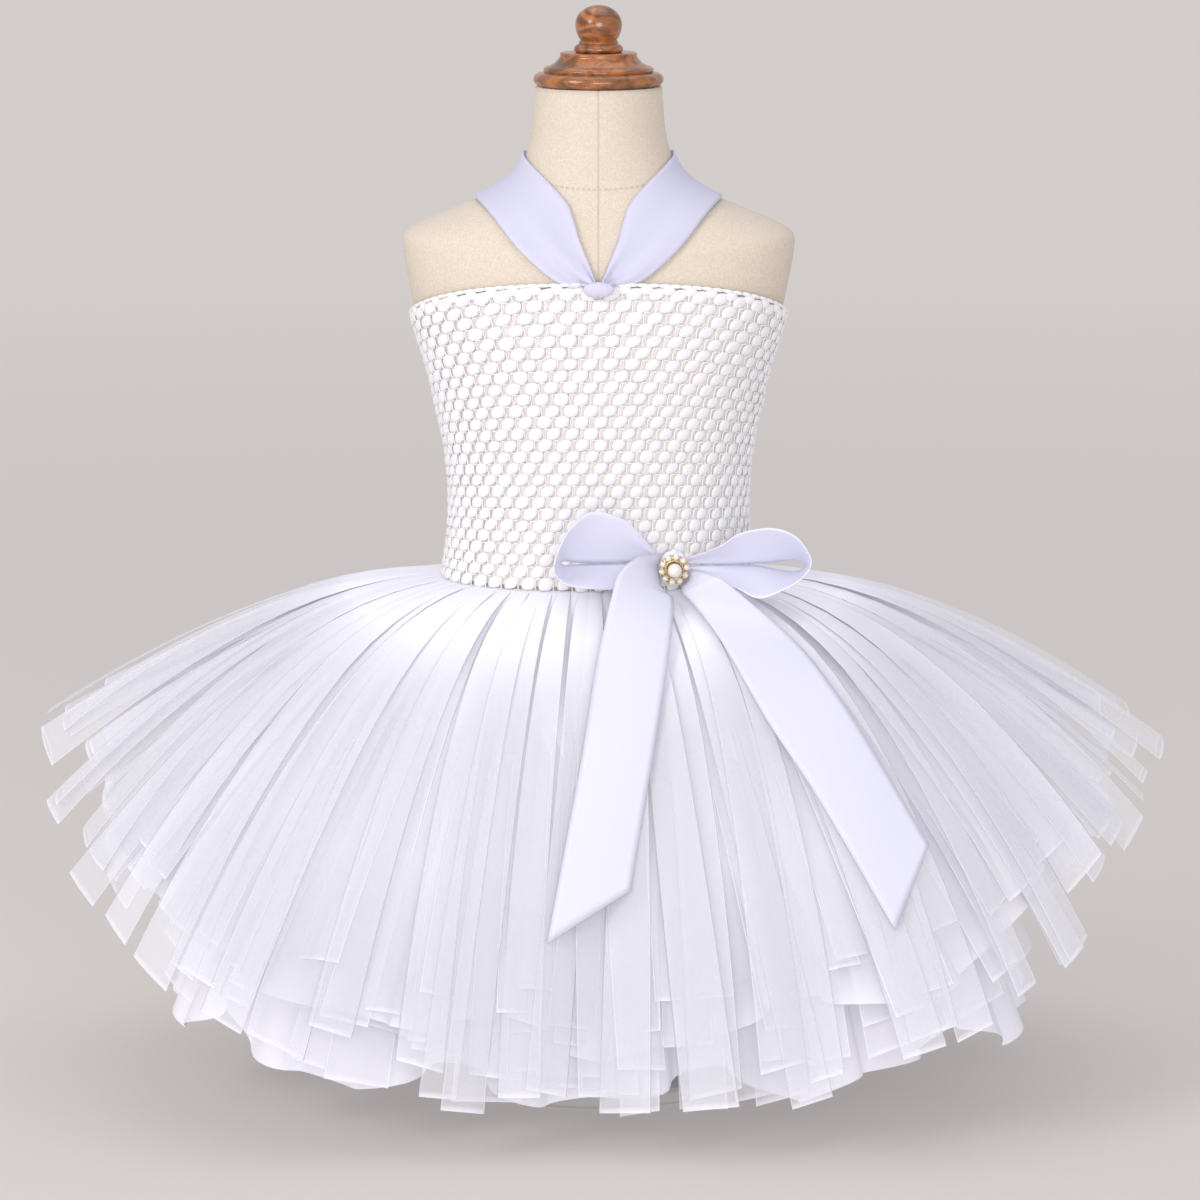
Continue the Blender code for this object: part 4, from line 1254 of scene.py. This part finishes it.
def tail_edge(name, first):
    """One edge of a bow's tail: out of the knot, and then down the outer row of strips."""
    on_skirt = [skirt_point(row[2 * first], row[2 * first + 1], OUTER_RIM, TAIL_LIFT)
                for row in TAILS_ON_SKIRT[name]]
    return bow_edge(TAILS_AT_KNOT[name], 3 * first, 1) + on_skirt


def make_bow(satin, tail_satin):
    """The bow's two loops, its two tails and the wrap round its middle."""
    for name, side in (("left", -1), ("right", 1)):

        def puff(share, along):
            ends = (abs(along - 0.5) * 2) ** 6
            return side * (LOOP_PUFF * share * (1 - share) + TIP_CURL * sin(tau * share * 2) * ends)

        rows = BOW_LOOPS[name]
        shape = band_shape(bow_edge(rows, 0, side), bow_edge(rows, 3, side), puff, 0.17)
        loop = ribbon_piece(shape, "bow_ribbon_" + name, satin)
        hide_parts("bow_loop_" + name)

        def wave(share, along):
            gather = max(1 - along / 0.22, 0.0)
            ripple = TAIL_WAVE * sin(9 * along + 2.2 * share) * ease(along * 3)
            return TAIL_PUFF * share * (1 - share) + ripple + TAIL_GATHER * sin(tau * 1.6 * share) * gather

        shape = band_shape(tail_edge(name, 0), tail_edge(name, 1), wave, 0.24)
        tail = ribbon_piece(shape, "bow_end_" + name, tail_satin)
        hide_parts("bow_tail_" + name)

    middle = bow_centre()
    middle.y -= BOW_KNOT_SIZE[1] / 2 + 2.5 * SEAM_GAP
    knot = satin_knot("bow_wrap", middle, BOW_KNOT_SIZE, BOW_FACING, satin, 3)
    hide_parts("bow_knot")


def make_ribbons(scene):
    """The halter, and the bow in a paler satin whose loops have a painted glow and whose tails have none."""
    colour = scene.tutu_colours.satin
    make_halter(satin_weave(tuple(colour), THROUGH_HALTER, HALTER_GLOW))
    pale = tuple(0.02 + 0.95 * part for part in colour)
    make_bow(satin_weave(pale, THROUGH_BOW, LOOP_GLOW), satin_weave(pale, THROUGH_BOW, TAIL_GLOW))


SMALL_PEARLS = 10
SMALL_PEARL_RADIUS = 0.0016
CLAW_RADIUS = 0.00045
BEAD_RADIUS = 0.0005


def make_brooch(scene):
    """The brooch: a gilt dish with a large pearl, and a ring of small pearls in claws round it."""
    facing = Vector((sin(radians(BOW_FACING)), -cos(radians(BOW_FACING)), 0))
    back = bow_centre() + Vector((0, -BOW_KNOT_SIZE[1] - 4 * SEAM_GAP, 0))
    turn = Matrix.Translation(back) @ facing.to_track_quat("Z", "Y").to_matrix().to_4x4()
    gilt = gold_plate(scene.tutu_colours.gilt)
    pearly = pearl_coat(scene.tutu_colours.pearl)
    top = BROOCH_THICKNESS
    outline = [(0.0, top - BROOCH_RECESS), (0.0036, top - BROOCH_RECESS), (0.0043, top - 0.0007),
               (0.0047, top + 0.0002), (0.0051, top + 0.0005), (0.0054, top + 0.0001),
               (0.0056, top - 0.0006), (0.0072, top - 0.0008), (0.0080, top - 0.0012),
               (0.0082, top - 0.0018), (0.0078, 0.0), (0.0, 0.0)]
    dish = adopt(spun(outline, 60, turn), "brooch_dish", gilt)
    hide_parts("brooch_setting")

    def round_ring(angle, radius, height):
        return turn @ (Matrix.Rotation(angle, 4, "Z") @ Matrix.Translation((radius, 0, top + height)))

    shape = bmesh.new()
    claws = bmesh.new()
    for index in range(SMALL_PEARLS):
        angle = tau * (index + 0.25) / SMALL_PEARLS
        bmesh.ops.create_icosphere(shape, subdivisions=3, radius=SMALL_PEARL_RADIUS,
                                   matrix=round_ring(angle, 0.0069, 0.0002))
        bmesh.ops.create_cone(claws, segments=12, radius1=0.0013, radius2=0.0018, depth=0.0012,
                              cap_ends=True, matrix=round_ring(angle, 0.0069, -0.0008))
        for offset in (-0.24, 0.24):
            bmesh.ops.create_icosphere(claws, subdivisions=2, radius=CLAW_RADIUS,
                                       matrix=round_ring(angle + offset, 0.0079, 0.0001))
        bmesh.ops.create_icosphere(claws, subdivisions=2, radius=BEAD_RADIUS,
                                   matrix=round_ring(angle + pi / SMALL_PEARLS, 0.0063, 0.0002))
    adopt(shape, "brooch_small_pearls", pearly)
    adopt(claws, "brooch_claws", gilt).data.set_sharp_from_angle(angle=radians(40))
    shape = bmesh.new()
    place = turn @ Matrix.Translation((0, 0, top - BROOCH_RECESS + PEARL_RADIUS + SEAM_GAP))
    bmesh.ops.create_uvsphere(shape, u_segments=48, v_segments=32, radius=PEARL_RADIUS, matrix=place)
    pearl = adopt(shape, "brooch_large_pearl", pearly)
    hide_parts("brooch_pearl")


# ---------------- settings, operators and panel
def colour_setting(name, description, default):
    return FloatVectorProperty(name=name, description=description, default=default, subtype="COLOR",
                               size=3, min=0.0, max=1.0)


class TutuColours(bpy.types.PropertyGroup):
    """Colours of the dress, the form and the studio."""

    satin: colour_setting("Satin", "Ribbon of the halter and the bow", (0.78, 0.775, 0.92))
    tulle: colour_setting("Tulle", "Net of the skirt", (0.85, 0.845, 0.925))
    crochet: colour_setting("Crochet", "Yarn of the bodice", (0.88, 0.865, 0.89))
    lining: colour_setting("Lining", "Lining behind the crochet", (0.93, 0.86, 0.81))
    linen: colour_setting("Linen", "Cover of the torso", (0.78, 0.675, 0.56))
    wood: colour_setting("Wood", "Varnished neck cap", (0.31, 0.108, 0.031))
    stand: colour_setting("Stand", "Paint of the post and the disc", (0.80, 0.79, 0.78))
    gilt: colour_setting("Gilt", "Metal of the brooch", (0.86, 0.70, 0.42))
    pearl: colour_setting("Pearl", "Pearls of the brooch", (0.93, 0.89, 0.82))
    paper: colour_setting("Paper", "Studio floor and sweep", (0.62, 0.585, 0.565))


class TutuSizes(bpy.types.PropertyGroup):
    """Sizes of the dress that a user would change."""

    stitch_columns: IntProperty(
        name="Stitch columns", description="Crochet stitches round the bodice", default=48, min=20, max=80)
    stitch_rows: IntProperty(
        name="Stitch rows", description="Crochet rows up the bodice", default=26, min=10, max=40)
    strip_width: FloatProperty(
        name="Strip width", description="Mean width of a folded tulle strip at the hem", default=0.024,
        min=0.01, max=0.06, unit="LENGTH")
    net_pitch: FloatProperty(
        name="Net pitch", description="Distance between the net's threads", default=0.0013,
        min=0.0005, max=0.005, unit="LENGTH")


class TUTU_OT_stage(bpy.types.Operator):
    """Make the floor, the lights and the camera"""

    bl_idname = "tutu.stage"
    bl_label = "Stage"

    def execute(self, context):
        make_stage(context.scene)
        return {"FINISHED"}


class TUTU_OT_form(bpy.types.Operator):
    """Make the linen torso and its cap, and paint the stand"""

    bl_idname = "tutu.form"
    bl_label = "Dress form"

    def execute(self, context):
        make_form(context.scene)
        return {"FINISHED"}


class TUTU_OT_bodice(bpy.types.Operator):
    """Make the crochet bodice"""

    bl_idname = "tutu.bodice"
    bl_label = "Bodice"

    def execute(self, context):
        make_bodice(context.scene)
        return {"FINISHED"}


class TUTU_OT_skirt(bpy.types.Operator):
    """Make the rows of tulle strips"""

    bl_idname = "tutu.skirt"
    bl_label = "Skirt"

    def execute(self, context):
        make_skirt(context.scene)
        return {"FINISHED"}


class TUTU_OT_ribbons(bpy.types.Operator):
    """Make the satin halter and the bow"""

    bl_idname = "tutu.ribbons"
    bl_label = "Halter and bow"

    def execute(self, context):
        make_ribbons(context.scene)
        return {"FINISHED"}


class TUTU_OT_brooch(bpy.types.Operator):
    """Make the pearl brooch"""

    bl_idname = "tutu.brooch"
    bl_label = "Brooch"

    def execute(self, context):
        make_brooch(context.scene)
        return {"FINISHED"}


OPERATORS = (TUTU_OT_stage, TUTU_OT_form, TUTU_OT_bodice, TUTU_OT_skirt, TUTU_OT_ribbons, TUTU_OT_brooch)


class TUTU_PT_pieces(bpy.types.Panel):
    """The dress's pieces and their settings"""

    bl_label = "Tutu dress"
    bl_space_type = "VIEW_3D"
    bl_region_type = "UI"
    bl_category = "Tutu"

    def draw(self, context):
        for settings in (context.scene.tutu_sizes, context.scene.tutu_colours):
            for name in settings.__annotations__:
                self.layout.prop(settings, name)
        for operator in OPERATORS:
            self.layout.operator(operator.bl_idname)


CLASSES = (TutuColours, TutuSizes, *OPERATORS, TUTU_PT_pieces)


def register():
    for kind in CLASSES:
        bpy.utils.register_class(kind)
    bpy.types.Scene.tutu_colours = PointerProperty(type=TutuColours)
    bpy.types.Scene.tutu_sizes = PointerProperty(type=TutuSizes)


def unregister():
    del bpy.types.Scene.tutu_sizes
    del bpy.types.Scene.tutu_colours
    for kind in reversed(CLASSES):
        bpy.utils.unregister_class(kind)


def main():
    register()
    bpy.ops.tutu.stage()
    bpy.ops.tutu.form()
    bpy.ops.tutu.bodice()
    bpy.ops.tutu.skirt()
    bpy.ops.tutu.ribbons()
    bpy.ops.tutu.brooch()


if __name__ == "__main__":
    main()
